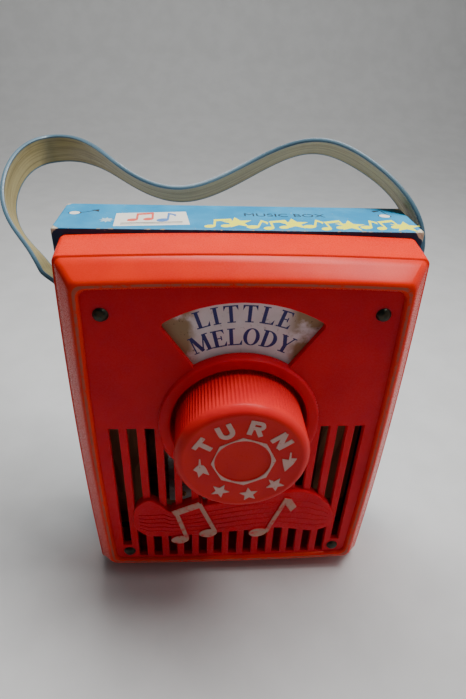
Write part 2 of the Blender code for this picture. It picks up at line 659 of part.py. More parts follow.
def make_wheels():
    plate("main_wheel", gear(MAIN_TEETH, MAIN_MODULE, MAIN_TO_CYLINDER, 0.0016),
          -0.0040, -0.0026, BRASS, ARBOR)
    turned("cylinder_shaft", [(0.0, 0.0058), (0.0010, 0.0058), (0.0010, -0.0158), (0.0, -0.0158)],
           STEEL, CYLINDER, steps=16)
    plate("cylinder_pinion", gear(CYLINDER_PINION_TEETH, MAIN_MODULE, MAIN_TO_CYLINDER + math.pi
                                  + math.pi / CYLINDER_PINION_TEETH, 0.0011),
          -0.0044, -0.0022, BRASS, CYLINDER)
    plate("cylinder_wheel", gear(CYLINDER_WHEEL_TEETH, FINE_MODULE, CYLINDER_TO_GOVERNOR, 0.0011),
          0.0122, 0.0132, BRASS, CYLINDER)
    for name, place, front, back in (("governor_arbor", GOVERNOR, -0.0058, 0.0158),
                                     ("fan_arbor", FAN, -0.0058, 0.0158)):
        rod(name, 0.0007, front, back, STEEL, place, steps=12)
    plate("governor_pinion", gear(GOVERNOR_PINION_TEETH, FINE_MODULE, CYLINDER_TO_GOVERNOR + math.pi
                                  + math.pi / GOVERNOR_PINION_TEETH, 0.0008),
          0.0118, 0.0136, BRASS, GOVERNOR)
    plate("governor_wheel", gear(GOVERNOR_WHEEL_TEETH, FINE_MODULE, GOVERNOR_TO_FAN, 0.0008),
          0.0138, 0.0145, BRASS, GOVERNOR)
    plate("fan_pinion", gear(FAN_PINION_TEETH, FINE_MODULE, GOVERNOR_TO_FAN + math.pi
                             + math.pi / FAN_PINION_TEETH, 0.0008),
          0.0134, 0.0148, BRASS, FAN)
    blade, hub, half = 0.0060, 0.0015, 0.0003
    root = math.sqrt(hub ** 2 - half ** 2)
    outline = []
    for side in (1, -1):
        first = math.atan2(half, root)
        outline += [(side * blade, -side * half), (side * blade, side * half)]
        outline += [(side * hub * math.cos(a), side * hub * math.sin(a))
                    for a in np.linspace(first, math.pi - first, 6)]
    plate("air_fan", [outline, circle(0.0008, 12)], -0.0020, 0.0125, STEEL, FAN)


def make_cylinder():
    """The tune cylinder: a brass drum with steel-like pins in twelve rows."""
    drum = as_mesh(plate("pin_cylinder", [circle(DRUM_RADIUS, 40), circle(0.0011, 16)],
                         0.0000, 0.0110, BRASS, CYLINDER))
    pins = []
    for index in range(36):
        row = (index * 5) % COMB_TEETH
        angle = 2 * math.pi * (index * 0.618 % 1.0)
        y = COMB_FRONT + (row + 0.5) * COMB_PITCH
        pins.append((y, angle))
    mesh = bpy.data.meshes.new("drum_pins")
    work = bmesh.new()
    for y, angle in pins:
        made = bmesh.ops.create_cone(work, cap_ends=True, segments=6, radius1=0.00022,
                                     radius2=0.00016, depth=0.0012)
        away = Vector((math.cos(angle), 0.0, math.sin(angle)))
        turn = away.to_track_quat("Z", "Y").to_matrix()
        reach = DRUM_RADIUS + PIN_HEIGHT - 0.0006
        bmesh.ops.rotate(work, verts=made["verts"], cent=(0, 0, 0), matrix=turn)
        bmesh.ops.translate(work, verts=made["verts"],
                            vec=away * reach + Vector((CYLINDER[0], y, CYLINDER[1])))
    work.to_mesh(mesh)
    work.free()
    return combine(drum, link("drum_pins", mesh, group=CUTTERS), "UNION")


COMB_TEETH = 12
COMB_PITCH = 0.00086
COMB_FRONT = 0.0003


def make_comb():
    """A steel comb standing below the drum, screwed to a block on the bedplate."""
    tip = CYLINDER[1] - DRUM_RADIUS - PIN_HEIGHT - COMB_GAP
    root_low, root_high = tip - 0.0160, tip - 0.0095
    back = COMB_FRONT + COMB_TEETH * COMB_PITCH
    outline = [(COMB_FRONT, root_low), (back, root_low)]
    for tooth in reversed(range(COMB_TEETH)):
        near = COMB_FRONT + tooth * COMB_PITCH + 0.00013
        far = near + COMB_PITCH - 0.00026
        depth = root_high + 0.0035 * (tooth / COMB_TEETH)
        outline += [(far, depth), (far, tip), (near, tip), (near, depth)]
    half = 0.0006
    comb = as_mesh(flat("comb", [outline], half * 2, SPRING_STEEL, (CYLINDER[0], 0.0, 0.0), EDGE_ON))
    block_high = CYLINDER[0] - half - FIT
    block = box("comb_block", (block_high - 0.0070, BEDPLATE_BACK + FIT, root_low),
                (block_high, back, root_high - 0.0005), STEEL)
    middle = (root_low + root_high) / 2 - 0.0003
    across = (0.0, math.pi / 2, 0.0)
    for index, y in enumerate((COMB_FRONT + 0.0024, back - 0.0024), 1):
        place = (CYLINDER[0] + half + FIT, y, middle)
        screw_piece(f"comb_screw_{index}", 0.0015, 0.0008, 0.0060, place, across)
        for target, piece in (("comb", comb), ("block", block)):
            nail_hole(f"comb_screw_hole_{target}_{index}", place, across, 0.0064, piece, 0.0010)
    place = (block_high - 0.0035, BEDPLATE_FRONT - FIT, middle)
    screw_piece("comb_block_screw", 0.0017, 0.0008, 0.0058, place, FACE_ON)
    nail_hole("block_screw_hole", place, FACE_ON, 0.0062, block, 0.0010)
    return place


def screw_piece(name, head, shank, length, place, turn):
    """A pan-head screw: its head stands on local z = 0, its shank points to local -z."""
    profile = [(0.0, 0.0009), (head * 0.8, 0.0009), (head, 0.0005), (head, 0.0), (shank, 0.0),
               (shank, 0.0004 - length), (shank * 0.5, -length), (0.0, -length)]
    return turned(name, profile, STEEL, steps=12, turn=turn, place=place)


def make_plates(block_screw):
    """The two plates, the four pillars between them, and every screw through them."""
    half, shoulder, waist = 0.032, 0.0175, 0.024
    top, neck, low = 0.0945, 0.0790, 0.0270
    bed = [(-half, top), (-half, neck + 0.003), (-waist, neck - 0.006), (-waist, low),
           (shoulder, low), (shoulder, neck - 0.006), (half, neck + 0.003), (half, top)]
    rear = [(-0.0275, top - 0.0015), (-0.0275, 0.0855), (-waist + 0.001, neck - 0.006),
            (-waist + 0.001, low), (shoulder, low + 0.008), (shoulder, neck - 0.006),
            (0.0275, 0.0855), (0.0275, top - 0.0015)]
    pivots = [(ARBOR, 0.0018, 0.0012), (CYLINDER, 0.0012, 0.0012), (GOVERNOR, 0.0009, 0.0009),
              (FAN, 0.0009, 0.0009)]
    bed_holes = [circle(front, 12, place) for place, front, back in pivots]
    bed_holes += [circle(0.0012, 12, place) for place in MOUNT_PLACES]
    bed_holes += [circle(0.0015, 12, place) for place in PILLAR_PLACES]
    bed_holes.append(circle(0.0011, 12, (block_screw[0], block_screw[2])))
    plate("bedplate", [bed] + bed_holes, BEDPLATE_FRONT, BEDPLATE_BACK, STEEL)
    rear_holes = [circle(back, 12, place) for place, front, back in pivots]
    rear_holes += [circle(0.0012, 12, place) for place in PILLAR_PLACES]
    plate("rear_plate", [rear] + rear_holes, REAR_PLATE_FRONT, REAR_PLATE_BACK, STEEL)
    for index, place in enumerate(PILLAR_PLACES, 1):
        turned(f"pillar_{index}", [
            (0.0014, -BEDPLATE_FRONT + 0.0003), (0.0014, -BEDPLATE_BACK - FIT),
            (0.0022, -BEDPLATE_BACK - FIT), (0.0022, -REAR_PLATE_FRONT + FIT),
            (0.0010, -REAR_PLATE_FRONT + FIT), (0.0010, -BEDPLATE_FRONT + 0.0003),
        ], BRASS, place, steps=12, closed=True)
        screw_piece(f"pillar_screw_{index}", 0.0019, 0.0008, 0.0060,
                    (place[0], REAR_PLATE_BACK + FIT, place[1]), (-math.pi / 2, 0.0, 0.0))
    for index, place in enumerate(MOUNT_PLACES, 1):
        screw_piece(f"mount_screw_{index}", 0.0020, 0.0009, 0.0090,
                    (place[0], BEDPLATE_BACK + FIT, place[1]), (-math.pi / 2, 0.0, 0.0))


case_boards, case_panel = make_case()
case_wrap, case_sheet = make_papers()
make_cover()
make_song_card()
make_nails(case_boards, case_panel, case_wrap, case_sheet)
make_strap()
make_knob()
make_spring()
make_wheels()
make_cylinder()
make_plates(make_comb())
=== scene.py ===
"""A wind-up music box made like a pocket radio: its finished looks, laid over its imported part.

Metres, +Z up, front towards -Y. Each section below is one piece, in the order of assembly.
"""
import math

import bmesh
import bpy
from mathutils import Matrix, Vector


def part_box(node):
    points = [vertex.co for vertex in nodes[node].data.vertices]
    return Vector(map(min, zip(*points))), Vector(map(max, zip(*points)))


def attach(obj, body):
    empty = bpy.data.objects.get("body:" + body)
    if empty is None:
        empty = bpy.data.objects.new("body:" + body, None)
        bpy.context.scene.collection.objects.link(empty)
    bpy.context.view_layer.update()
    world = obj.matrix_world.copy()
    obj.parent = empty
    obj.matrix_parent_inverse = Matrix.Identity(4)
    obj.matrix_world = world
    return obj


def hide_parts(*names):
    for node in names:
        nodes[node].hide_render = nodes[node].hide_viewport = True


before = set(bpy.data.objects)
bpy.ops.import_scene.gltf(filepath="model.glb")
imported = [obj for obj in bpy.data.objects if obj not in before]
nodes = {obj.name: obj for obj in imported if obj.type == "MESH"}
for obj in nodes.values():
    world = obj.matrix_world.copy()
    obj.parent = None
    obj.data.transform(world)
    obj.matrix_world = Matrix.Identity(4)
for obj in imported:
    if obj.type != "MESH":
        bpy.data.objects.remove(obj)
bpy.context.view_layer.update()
MM = 0.001


# ---- The wooden case frame -----------------------------------
# Four strips of sawn pine, butted and nailed into a frame, with a hardboard panel over its
# back. Paper hides nearly all of it: the wood shows inside, through the grille, coloured
# darker and redder as painted shade and painted red light from the cover.
def new_finish(name, colour, roughness, metallic=0.0):
    """A material and its shader."""
    made = bpy.data.materials.new(name)
    made.use_nodes = True
    shader = made.node_tree.nodes["Principled BSDF"]
    shader.inputs["Base Color"].default_value = (*colour, 1.0)
    shader.inputs["Roughness"].default_value = roughness
    shader.inputs["Metallic"].default_value = metallic
    return made, shader


def step(beside, kind, values, **settings):
    """A node in the same tree as beside: its inputs, by name or number, and its settings."""
    tree = beside.id_data
    node = tree.nodes.new(kind)
    for key, value in settings.items():
        setattr(node, key, value)
    for key, value in values.items():
        if isinstance(value, bpy.types.NodeSocket):
            tree.links.new(value, node.inputs[key])
        else:
            node.inputs[key].default_value = value
    return node


def sums(operation, first, second=0.0):
    beside = first if isinstance(first, bpy.types.NodeSocket) else second
    return step(beside, "ShaderNodeMath", {0: first, 1: second}, operation=operation).outputs[0]


def grain(shader, scale, detail=3.0, roughness=0.55, stretch=(1, 1, 1), distortion=0.0):
    """Noise in the piece's own metres: scale is in features per metre."""
    where = step(shader, "ShaderNodeTexCoord", {}).outputs["Object"]
    spread = step(shader, "ShaderNodeMapping", {"Vector": where, "Scale": stretch}).outputs[0]
    return step(shader, "ShaderNodeTexNoise", {
        "Vector": spread, "Scale": scale, "Detail": detail, "Roughness": roughness,
        "Distortion": distortion}).outputs["Fac"]


def between(value, low, high, to_low=0.0, to_high=1.0):
    """Rescale value from low..high to to_low..to_high, held at both ends."""
    return step(value, "ShaderNodeMapRange", {
        "Value": value, "From Min": low, "From Max": high, "To Min": to_low,
        "To Max": to_high}, interpolation_type="SMOOTHSTEP").outputs[0]


def blended(share, first, second, blend="MIX"):
    """Two colours mixed by share; a colour is a socket or (r, g, b)."""
    first, second = (colour if isinstance(colour, bpy.types.NodeSocket) else (*colour, 1.0)
                     for colour in (first, second))
    return step(share, "ShaderNodeMix", {0: share, 6: first, 7: second}, data_type="RGBA",
                blend_type=blend).outputs[2]


def feed(shader, socket, value):
    shader.id_data.links.new(value, shader.inputs[socket])


def relief(shader, height, distance, strength):
    feed(shader, "Normal", step(shader, "ShaderNodeBump", {
        "Height": height, "Distance": distance, "Strength": strength}).outputs[0])


def coat_with(piece, finish):
    if piece.material_slots:
        piece.material_slots[0].material = finish
    else:
        piece.data.materials.append(finish)


def sawn_wood(name, pale, dark, stretch):
    finish, shader = new_finish(name, pale, 0.72)
    rings = grain(shader, 60, 2.0, 0.5, stretch, 0.6)
    fibres = grain(shader, 700, 4.0, 0.7, stretch)
    bands = sums("FRACT", sums("MULTIPLY", rings, 9.0))
    tone = blended(between(bands, 0.1, 0.95), pale, dark)
    tone = blended(between(fibres, 0.3, 0.8, 0.0, 0.5), tone, dark, "MULTIPLY")
    feed(shader, "Base Color", tone)
    relief(shader, fibres, 0.0002, 0.6)
    return finish


# Painted shade and painted red light: both pine colours are darker and redder than bare pine, for
# the shaded inside behind the red cover.
SHADED_PALE_PINE, SHADED_DARK_PINE = (0.50, 0.25, 0.12), (0.34, 0.14, 0.06)
for way, strips, stretch in (("across", ("top", "bottom"), (0.08, 1, 1)),
                             ("upright", ("left", "right"), (1, 1, 0.08))):
    pine = sawn_wood(f"pine_{way}", SHADED_PALE_PINE, SHADED_DARK_PINE, stretch)
    for strip in strips:
        coat_with(nodes[f"case_{strip}_board"], pine)

# Painted shade and painted red light: the hardboard's colours are darkened and reddened like the
# pine's.
hardboard, shader = new_finish("hardboard", (0.17, 0.10, 0.055), 0.75)
pulp = grain(shader, 1500, 4.0, 0.7)
feed(shader, "Base Color", blended(between(pulp, 0.3, 0.75), (0.30, 0.11, 0.06),
                                   (0.42, 0.17, 0.09)))
relief(shader, pulp, 0.0001, 0.5)
coat_with(nodes["back_panel"], hardboard)


# ---- The paper round the case --------------------------------
# Printed paper glued round the four sides of the frame and folded onto its front, light blue,
# its fold on the front painted dark blue as painted shade for that forward face. Its edges
# are rubbed through to the cream stock, most of all at the corners.
CASE_HALF, WRAP_BACK, CASE_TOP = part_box("case_paper")[1]
CASE_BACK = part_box("back_paper")[1][1]


def position(shader):
    """Where a point of the piece is, in metres: its x, y and z."""
    where = step(shader, "ShaderNodeTexCoord", {}).outputs["Object"]
    return step(shader, "ShaderNodeSeparateXYZ", {0: where}).outputs


def round_corner_outline(half, low, high, corner, bow_side=0.0, bow_top=0.0, bays=28, turns=8):
    """Points round a rectangle with rounded corners, its edges bowed outward, from lower right."""
    middle, half_height = (low + high) / 2, (high - low) / 2
    points = []
    for quarter, (sx, sz) in enumerate([(1, -1), (1, 1), (-1, 1), (-1, -1)]):
        for turn in range(turns + 1):
            angle = math.radians(-90 + 90 * quarter + 90 * turn / turns)
            points.append((sx * (half - corner) + corner * math.cos(angle),
                           sz * (half_height - corner) + corner * math.sin(angle)))
        upright = quarter % 2 == 0
        reach = (half_height if upright else half) - corner
        for bay in range(1, bays):
            travel = reach * (2 * bay / bays - 1)
            if upright:
                points.append((sx * half, travel if sx > 0 else -travel))
            else:
                points.append((-travel if sz > 0 else travel, sz * half_height))
    return [(x + bow_side * (1 - (z / half_height) ** 2) * x / half,
             middle + z + bow_top * (1 - (x / half) ** 2) * z / half_height) for x, z in points]


put_in = bpy.context.scene.collection.objects.link


def show(name, mesh, finish, body="root", smooth=35, stands_for=()):
    """Put a finished mesh in the scene on its body, smooth but for edges sharper than smooth."""
    piece = bpy.data.objects.new(name, mesh)
    put_in(piece)
    if finish and not mesh.materials:
        mesh.materials.append(finish)
    if smooth:
        mesh.shade_smooth()
        mesh.set_sharp_from_angle(angle=math.radians(smooth))
    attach(piece, body)
    if stands_for:
        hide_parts(*stands_for)
    return piece


def as_mesh(name, work):
    mesh = bpy.data.meshes.new(name)
    bmesh.ops.recalc_face_normals(work, faces=work.faces)
    work.to_mesh(mesh)
    work.free()
    return mesh


def bridge(work, loops):
    """Faces from each loop of points to the next, with as many points in each."""
    for near, far in zip(loops, loops[1:]):
        for i in range(len(near)):
            after = (i + 1) % len(near)
            work.faces.new((near[i], near[after], far[after], far[i]))


def frame_mesh(name, rings):
    """A ring-shaped moulding: rings of (y, outline), joined in order and closed on itself."""
    work = bmesh.new()
    loops = [[work.verts.new((x, y, z)) for x, z in outline] for y, outline in rings]
    bridge(work, loops + loops[:1])
    return as_mesh(name, work)


def paper_ring(inset, y, corner=0.8 * MM):
    return (y, round_corner_outline(CASE_HALF - inset, inset, CASE_TOP - inset, corner))


stock, fold = 0.3 * MM, 6.5 * MM
paper_rings = [paper_ring(*row) for row in [
    (0.0, WRAP_BACK), (0.0, 12 * MM), (0.0, 0.7 * MM), (0.06 * MM, 0.32 * MM),
    (0.26 * MM, 0.07 * MM), (0.6 * MM, 0.0), (3 * MM, 0.0), (fold, 0.0), (fold, stock),
    (0.5 * MM, stock), (stock, 0.5 * MM), (stock, WRAP_BACK)]]
wrap_mesh = frame_mesh("case_wrap", paper_rings)


litho, shader = new_finish("printed_paper", (0.20, 0.45, 0.62), 0.5)
axes = position(shader)
from_side = sums("SUBTRACT", CASE_HALF, sums("ABSOLUTE", axes[0]))
from_end = sums("MINIMUM", axes[2], sums("SUBTRACT", CASE_TOP, axes[2]))
from_face = sums("MINIMUM", axes[1], sums("SUBTRACT", CASE_BACK, axes[1]))
nearer = sums("MINIMUM", from_side, from_end)
further = sums("MAXIMUM", from_side, from_end)
edge = sums("MAXIMUM", nearer, sums("MINIMUM", further, from_face))
corner = sums("MAXIMUM", further, from_face)
blotches = grain(shader, 90, 3.0)
flecks = grain(shader, 1300, 3.0, 0.6)
rubbing = grain(shader, 420, 4.0, 0.65)
cloudy = between(blotches, 0.35, 0.7)
blue = blended(cloudy, (0.012, 0.20, 0.39), (0.032, 0.265, 0.47))
# Painted shade: the fold on the case's front takes this dark blue in place of the paper's light
# blue.
navy = blended(cloudy, (0.014, 0.024, 0.06), (0.03, 0.045, 0.09))
front_shade_share = between(axes[1], 0.10 * MM, 0.16 * MM, 1.0, 0.0)
ink = blended(front_shade_share, blue, navy)
ink = blended(between(flecks, 0.66, 0.74, 0.0, 0.55), ink, (0.55, 0.52, 0.42))
limit = sums("ADD", between(rubbing, 0.38, 0.75, 0.04 * MM, 0.60 * MM),
             between(corner, 0.6 * MM, 2.6 * MM, 1.0 * MM, 0.0))
limit = sums("ADD", limit, sums("MULTIPLY",
             between(axes[0], 0.5 * CASE_HALF, CASE_HALF, 0.0, 1.5),
             between(corner, 1.0 * MM, 3.6 * MM, 1.0 * MM, 0.0)))
worn = between(sums("SUBTRACT", limit, edge), 0.0, 0.28 * MM)
cream = blended(between(rubbing, 0.4, 0.7), (0.60, 0.53, 0.40), (0.36, 0.27, 0.17))
feed(shader, "Base Color", blended(worn, ink, cream))
feed(shader, "Roughness", between(worn, 0.0, 1.0, 0.42, 0.85))
relief(shader, sums("SUBTRACT", sums("MULTIPLY", flecks, 0.25), worn),
       0.00012, 0.6)
shader.inputs["Specular IOR Level"].default_value = 0.15
show("case_wrap", wrap_mesh, litho, stands_for=["case_paper"])

back_low, back_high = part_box("back_paper")
work = bmesh.new()
back_outline = round_corner_outline(back_high[0], back_low[2], back_high[2], 0.7 * MM, bays=12)
rows = [(back_low[1], 0.0), (back_high[1] - 0.06 * MM, 0.0), (back_high[1], 0.08 * MM)]
loops = [[work.verts.new((x * (1 - inset / back_high[0]), y, z)) for x, z in back_outline]
         for y, inset in rows]
bridge(work, loops)
work.faces.new(loops[0])
work.faces.new(loops[-1])
show("back_sheet", as_mesh("back_sheet", work), litho, stands_for=["back_paper"])


# ---- The prints on the paper ---------------------------------
# Ink on the paper. The top has a white label with a red and a blue note, what the toy is in
# words, a yellow row and a note at each end; notes and stars are on the back and the sides.
def oval(across, up, wide, tall, tilt=0.0, count=20):
    c, s = math.cos(math.radians(tilt)), math.sin(math.radians(tilt))
    turns = [2 * math.pi * i / count for i in range(count)]
    rim = [(wide / 2 * math.cos(turn), tall / 2 * math.sin(turn)) for turn in turns]
    return [(across + a * c - b * s, up + a * s + b * c) for a, b in rim]


def star(across, up, tips, outer, inner, turn=0.0):
    spokes = [(inner if i % 2 else outer, math.radians(turn) + math.pi * i / tips)
              for i in range(2 * tips)]
    return [(across + r * math.sin(angle), up + r * math.cos(angle)) for r, angle in spokes]


def stroke(start, end, width):
    a, b = Vector(start), Vector(end)
    side = (b - a).orthogonal().normalized() / 2 * width
    return [tuple(a + side), tuple(a - side), tuple(b - side), tuple(b + side)]


def shifted(shapes, across, up, turn=0.0, scale=1.0):
    c, s = math.cos(math.radians(turn)) * scale, math.sin(math.radians(turn)) * scale
    return [[(across + x * c - y * s, up + x * s + y * c) for x, y in shape] for shape in shapes]


SUNK = -0.02 * MM            # an ink film starts just under the surface


def inked(name, shapes, place, thick, finish, body="root"):
    """Flat shapes in mm laid on a surface: place(u, v, height) gives the point in metres."""
    work = bmesh.new()
    for index, shape in enumerate(shapes):
        height = thick * (1 + 0.03 * (index % 9))
        low = [work.verts.new(place(u * MM, v * MM, SUNK)) for u, v in shape]
        high = [work.verts.new(place(u * MM, v * MM, height)) for u, v in shape]
        work.faces.new(high)
        work.faces.new(low)
        bridge(work, [low, high])
    show(name, as_mesh(name, work), finish, body, smooth=0)


def ink_finish(name, colour, under, cover=0.42):
    """Printed ink: flat colour that has rubbed thin in specks."""
    finish, shader = new_finish(name, colour, 0.55)
    gaps = between(grain(shader, 1900, 3.0, 0.7), cover + 0.2, cover + 0.3)
    tone = between(grain(shader, 300, 2.0), 0.3, 0.7, 0.0, 0.3)
    faded = blended(tone, colour, tuple(0.8 * c + 0.03 for c in colour))
    feed(shader, "Base Color", blended(gaps, faded, under))
    return finish


def on_top(u, v, height):
    return (u, v, CASE_TOP + height)


black_ink = ink_finish("black_ink", (0.004, 0.005, 0.008), (0.06, 0.16, 0.24), 0.75)
white_ink = ink_finish("white_ink", (0.66, 0.63, 0.55), (0.45, 0.47, 0.45), 0.45)
yellow_ink = ink_finish("yellow_ink", (0.80, 0.78, 0.01), (0.22, 0.42, 0.48), 0.5)
red_ink = ink_finish("red_ink", (0.62, 0.07, 0.04), (0.6, 0.45, 0.38))
blue_ink = ink_finish("blue_ink", (0.05, 0.16, 0.42), (0.5, 0.55, 0.6))
pale_ink = ink_finish("pale_ink", (0.34, 0.46, 0.50), (0.16, 0.38, 0.52), 0.38)
film = 0.012 * MM            # thickness of one pass of ink; a second one stands at over_film
over_film = film * 2.2

single_note = [oval(-0.55, -1.6, 2.3, 1.7, 18), stroke((0.35, -1.5), (0.75, 2.2), 0.42),
               [(0.6, 2.4), (2.0, 1.4), (1.9, 0.2), (1.3, 1.1), (0.7, 1.3)]]
beamed_notes = [oval(-1.6, -1.5, 2.0, 1.5, 18), oval(1.3, -1.2, 2.0, 1.5, 18),
                stroke((-0.8, -1.4), (-0.6, 1.7), 0.42), stroke((2.1, -1.1), (2.2, 2.1), 0.42),
                stroke((-0.8, 1.6), (2.4, 2.1), 1.0)]
small_star = [star(0, 0, 5, 2.9, 1.25)]
for name, finish, height, shapes in (
        ("label_white", white_ink, film,
         [[(-37.3, 13.1), (-16.4, 15.5), (-15.0, 3.8), (-36.8, 1.7)]]),
        ("label_red_note", red_ink, over_film, shifted(beamed_notes, -29.6, 9.9, 5, 1.6)),
        ("label_blue_note", blue_ink, over_film, shifted(single_note, -22.4, 10.2, 5, 1.65)),
        ("label_rule", black_ink, over_film,
         [stroke((-35, 4.3), (-17.2, 6.2), 0.45), stroke((-35, 3.3), (-17.2, 5.2), 0.25)]),
        ("pale_flower", pale_ink, film,
         [star(-39.4, 7.0, 8, 2.3, 1.2), oval(-39.4, 7.0, 1.3, 1.3)]),
        ("left_note_black", black_ink, film,
         [oval(-49.6, 13.0, 4.0, 2.3, 8), stroke((-48.0, 13.2), (-43.8, 15.4), 0.35),
          [(-45.3, 15.6), (-42.9, 16.6), (-42.7, 14.2), (-43.9, 15.0)]]),
        ("left_note_white", white_ink, over_film, [oval(-49.7, 13.0, 3.1, 2.9, 8)]),
        ("right_note_black", black_ink, film,
         [oval(46.1, 14.0, 4.3, 2.3, -8), stroke((47.6, 14.6), (46.4, 19.2), 0.4),
          [(46.6, 19.6), (43.2, 19.0), (43.6, 17.6), (45.0, 18.3)]]),
        ("right_note_white", white_ink, over_film, [oval(46.1, 14.0, 3.5, 2.9, -8)])):
    inked(name, shapes, on_top, height, finish)
row = []
for index in range(11):
    figure = [beamed_notes, small_star, single_note][index % 3]
    row += shifted(figure, -6.6 + 5.62 * index, 5.2 + 0.9 * math.sin(1.7 * index),
                   10 * math.sin(2.3 * index), 1.65)
inked("yellow_row", row, on_top, film, yellow_ink)


def on_back(u, v, height):
    return (-u, CASE_BACK + height, v)


white_back, yellow_back = [], []
BACK_FIGURES = [(-34, 112, 3.0), (-13, 100, 2.2), (9, 115, 2.6), (33, 98, 3.0), (-30, 78, 2.2),
                (30, 70, 2.4), (-35, 46, 2.8), (-12, 30, 2.2), (12, 40, 2.8), (35, 38, 2.2),
                (-32, 20, 2.4), (28, 16, 2.6)]        # across, up and scale
for index, (u, v, size) in enumerate(BACK_FIGURES):
    figure = [beamed_notes, single_note, small_star][index % 3]
    ink_pile = yellow_back if index % 3 == 2 else white_back
    ink_pile += shifted(figure, u, v, 12 * math.sin(2.1 * index), size)
inked("back_notes_white", white_back, on_back, film, white_ink)
inked("back_stars_yellow", yellow_back, on_back, film, yellow_ink)
corners = [(-21, 55), (21, 55), (21, 87), (-21, 87)]
inked("back_panel_print", [stroke(a, b, 0.8) for a, b in zip(corners, corners[1:] + corners[:1])],
      on_back, film, white_ink)
inked("back_panel_notes", shifted(beamed_notes, -8, 71, 0, 4.0)
      + shifted(single_note, 10, 70, 0, 4.0), on_back, film, black_ink)


def on_side(sign):
    return lambda u, v, height: (sign * (CASE_HALF + height), sign * u, v)


for side, sign in (("left", -1), ("right", 1)):
    row = []
    for index in range(5):
        figure = [single_note, small_star, beamed_notes][index % 3]
        row += shifted(figure, sign * (11 + 2 * math.sin(2.7 * index)), 14 + 18 * index,
                       9 * math.sin(1.9 * index), 1.9)
    inked(f"side_row_{side}", row, on_side(sign), film, yellow_ink)


def solid_from(curve):
    """The solid mesh that a filled curve makes, without its finishes."""
    blank = bpy.data.objects.new(curve.name, curve)
    put_in(blank)
    bpy.context.view_layer.update()
    mesh = bpy.data.meshes.new_from_object(blank.evaluated_get(
        bpy.context.evaluated_depsgraph_get()))
    bpy.data.objects.remove(blank, do_unlink=True)
    mesh.materials.clear()
    return mesh


TOP_WORDS_TALL, TOP_WORDS_WIDEN = 2.7 * MM, 1.26
words = bpy.data.curves.new("top_words", "FONT")
words.body, words.align_x, words.align_y = "MUSIC BOX", "CENTER", "CENTER"
words.size, words.extrude = TOP_WORDS_TALL / 0.7, 3 * film
words_mesh = solid_from(words)
words_mesh.transform(Matrix.Translation((14.0 * MM, 13.2 * MM, CASE_TOP))
                     @ Matrix.Diagonal((TOP_WORDS_WIDEN, 1, 1, 1)))
show("top_words", words_mesh, black_ink, smooth=0)


# ---- The clockwork -------------------------------------------
# Two zinc-plated steel plates on brass pillars hold the wheel train. The knob's arbor winds the
# spring, and the wheels turn a pinned brass cylinder under a tempered steel comb.
def metal(name, colour, roughness, tarnish, stretch=(1, 1, 1)):
    finish, shader = new_finish(name, colour, roughness, 1.0)
    brushed = grain(shader, 1600, 3.0, 0.6, stretch)
    clouds = grain(shader, 140, 3.0)
    feed(shader, "Base Color", blended(between(clouds, 0.4, 0.75), colour, tarnish))
    feed(shader, "Roughness", between(brushed, 0.25, 0.8, roughness * 0.7,
                                      roughness * 1.5))
    relief(shader, brushed, 0.00003, 0.4)
    return finish


zinc = metal("zinc_plate", (0.46, 0.46, 0.45), 0.34, (0.30, 0.28, 0.25), (0.1, 1, 1))
bright_steel = metal("bright_steel", (0.58, 0.58, 0.58), 0.25, (0.40, 0.38, 0.36))
cut_brass = metal("cut_brass", (0.70, 0.50, 0.20), 0.28, (0.42, 0.28, 0.12))
tempered = metal("tempered_steel", (0.17, 0.22, 0.34), 0.25, (0.26, 0.22, 0.20), (1, 1, 0.1))
for finish, names in (
        (zinc, ("bedplate", "rear_plate", "spring_housing", "comb_block")),
        (bright_steel, ("winding_arbor", "cylinder_shaft", "governor_arbor", "fan_arbor",
                        "air_fan")),
        (cut_brass, ("main_wheel", "cylinder_pinion", "cylinder_wheel", "governor_pinion",
                     "governor_wheel", "fan_pinion", "pin_cylinder")),
        (tempered, ("comb", "mainspring"))):
    for name in names:
        coat_with(nodes[name], finish)
for name, node in nodes.items():
    if "screw" in name or name.startswith("frame_nail"):
        coat_with(node, bright_steel)
    elif name.startswith("pillar"):
        coat_with(node, cut_brass)


# ---- The song card -------------------------------------------
# A printed card glued behind the cover's window. The song's name is on it in two lines of navy
# capitals with serifs, and the card has browned and spotted at its sides.
KNOB_Z = sum(corner[2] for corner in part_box("winding_knob")) / 2
CARD_FRONT, CARD_BACK = (corner[1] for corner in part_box("song_card"))
CARD_INNER, CARD_OUTER, CARD_HALF_ANGLE = 24.0, 45.5, 38     # mm and degrees, on the knob's axis

card_stock, shader = new_finish("card_stock", (0.50, 0.47, 0.40), 0.8)
fog = grain(shader, 160, 4.0, 0.6)
spots = grain(shader, 520, 3.0, 0.7)
aside = between(sums("ABSOLUTE", position(shader)[0]), 11 * MM, 18 * MM)
stain = sums("MULTIPLY", sums("ADD", 0.10, sums("MULTIPLY", aside, 1.2)),
             between(fog, 0.28, 0.56))
specks = sums("MULTIPLY", sums("ADD", 0.25, aside), between(spots, 0.62, 0.70))
tone = blended(stain, (0.84, 0.80, 0.82), (0.36, 0.26, 0.14))
feed(shader, "Base Color", blended(specks, tone, (0.13, 0.075, 0.04)))
relief(shader, grain(shader, 2500, 2.0), 0.00004, 0.5)

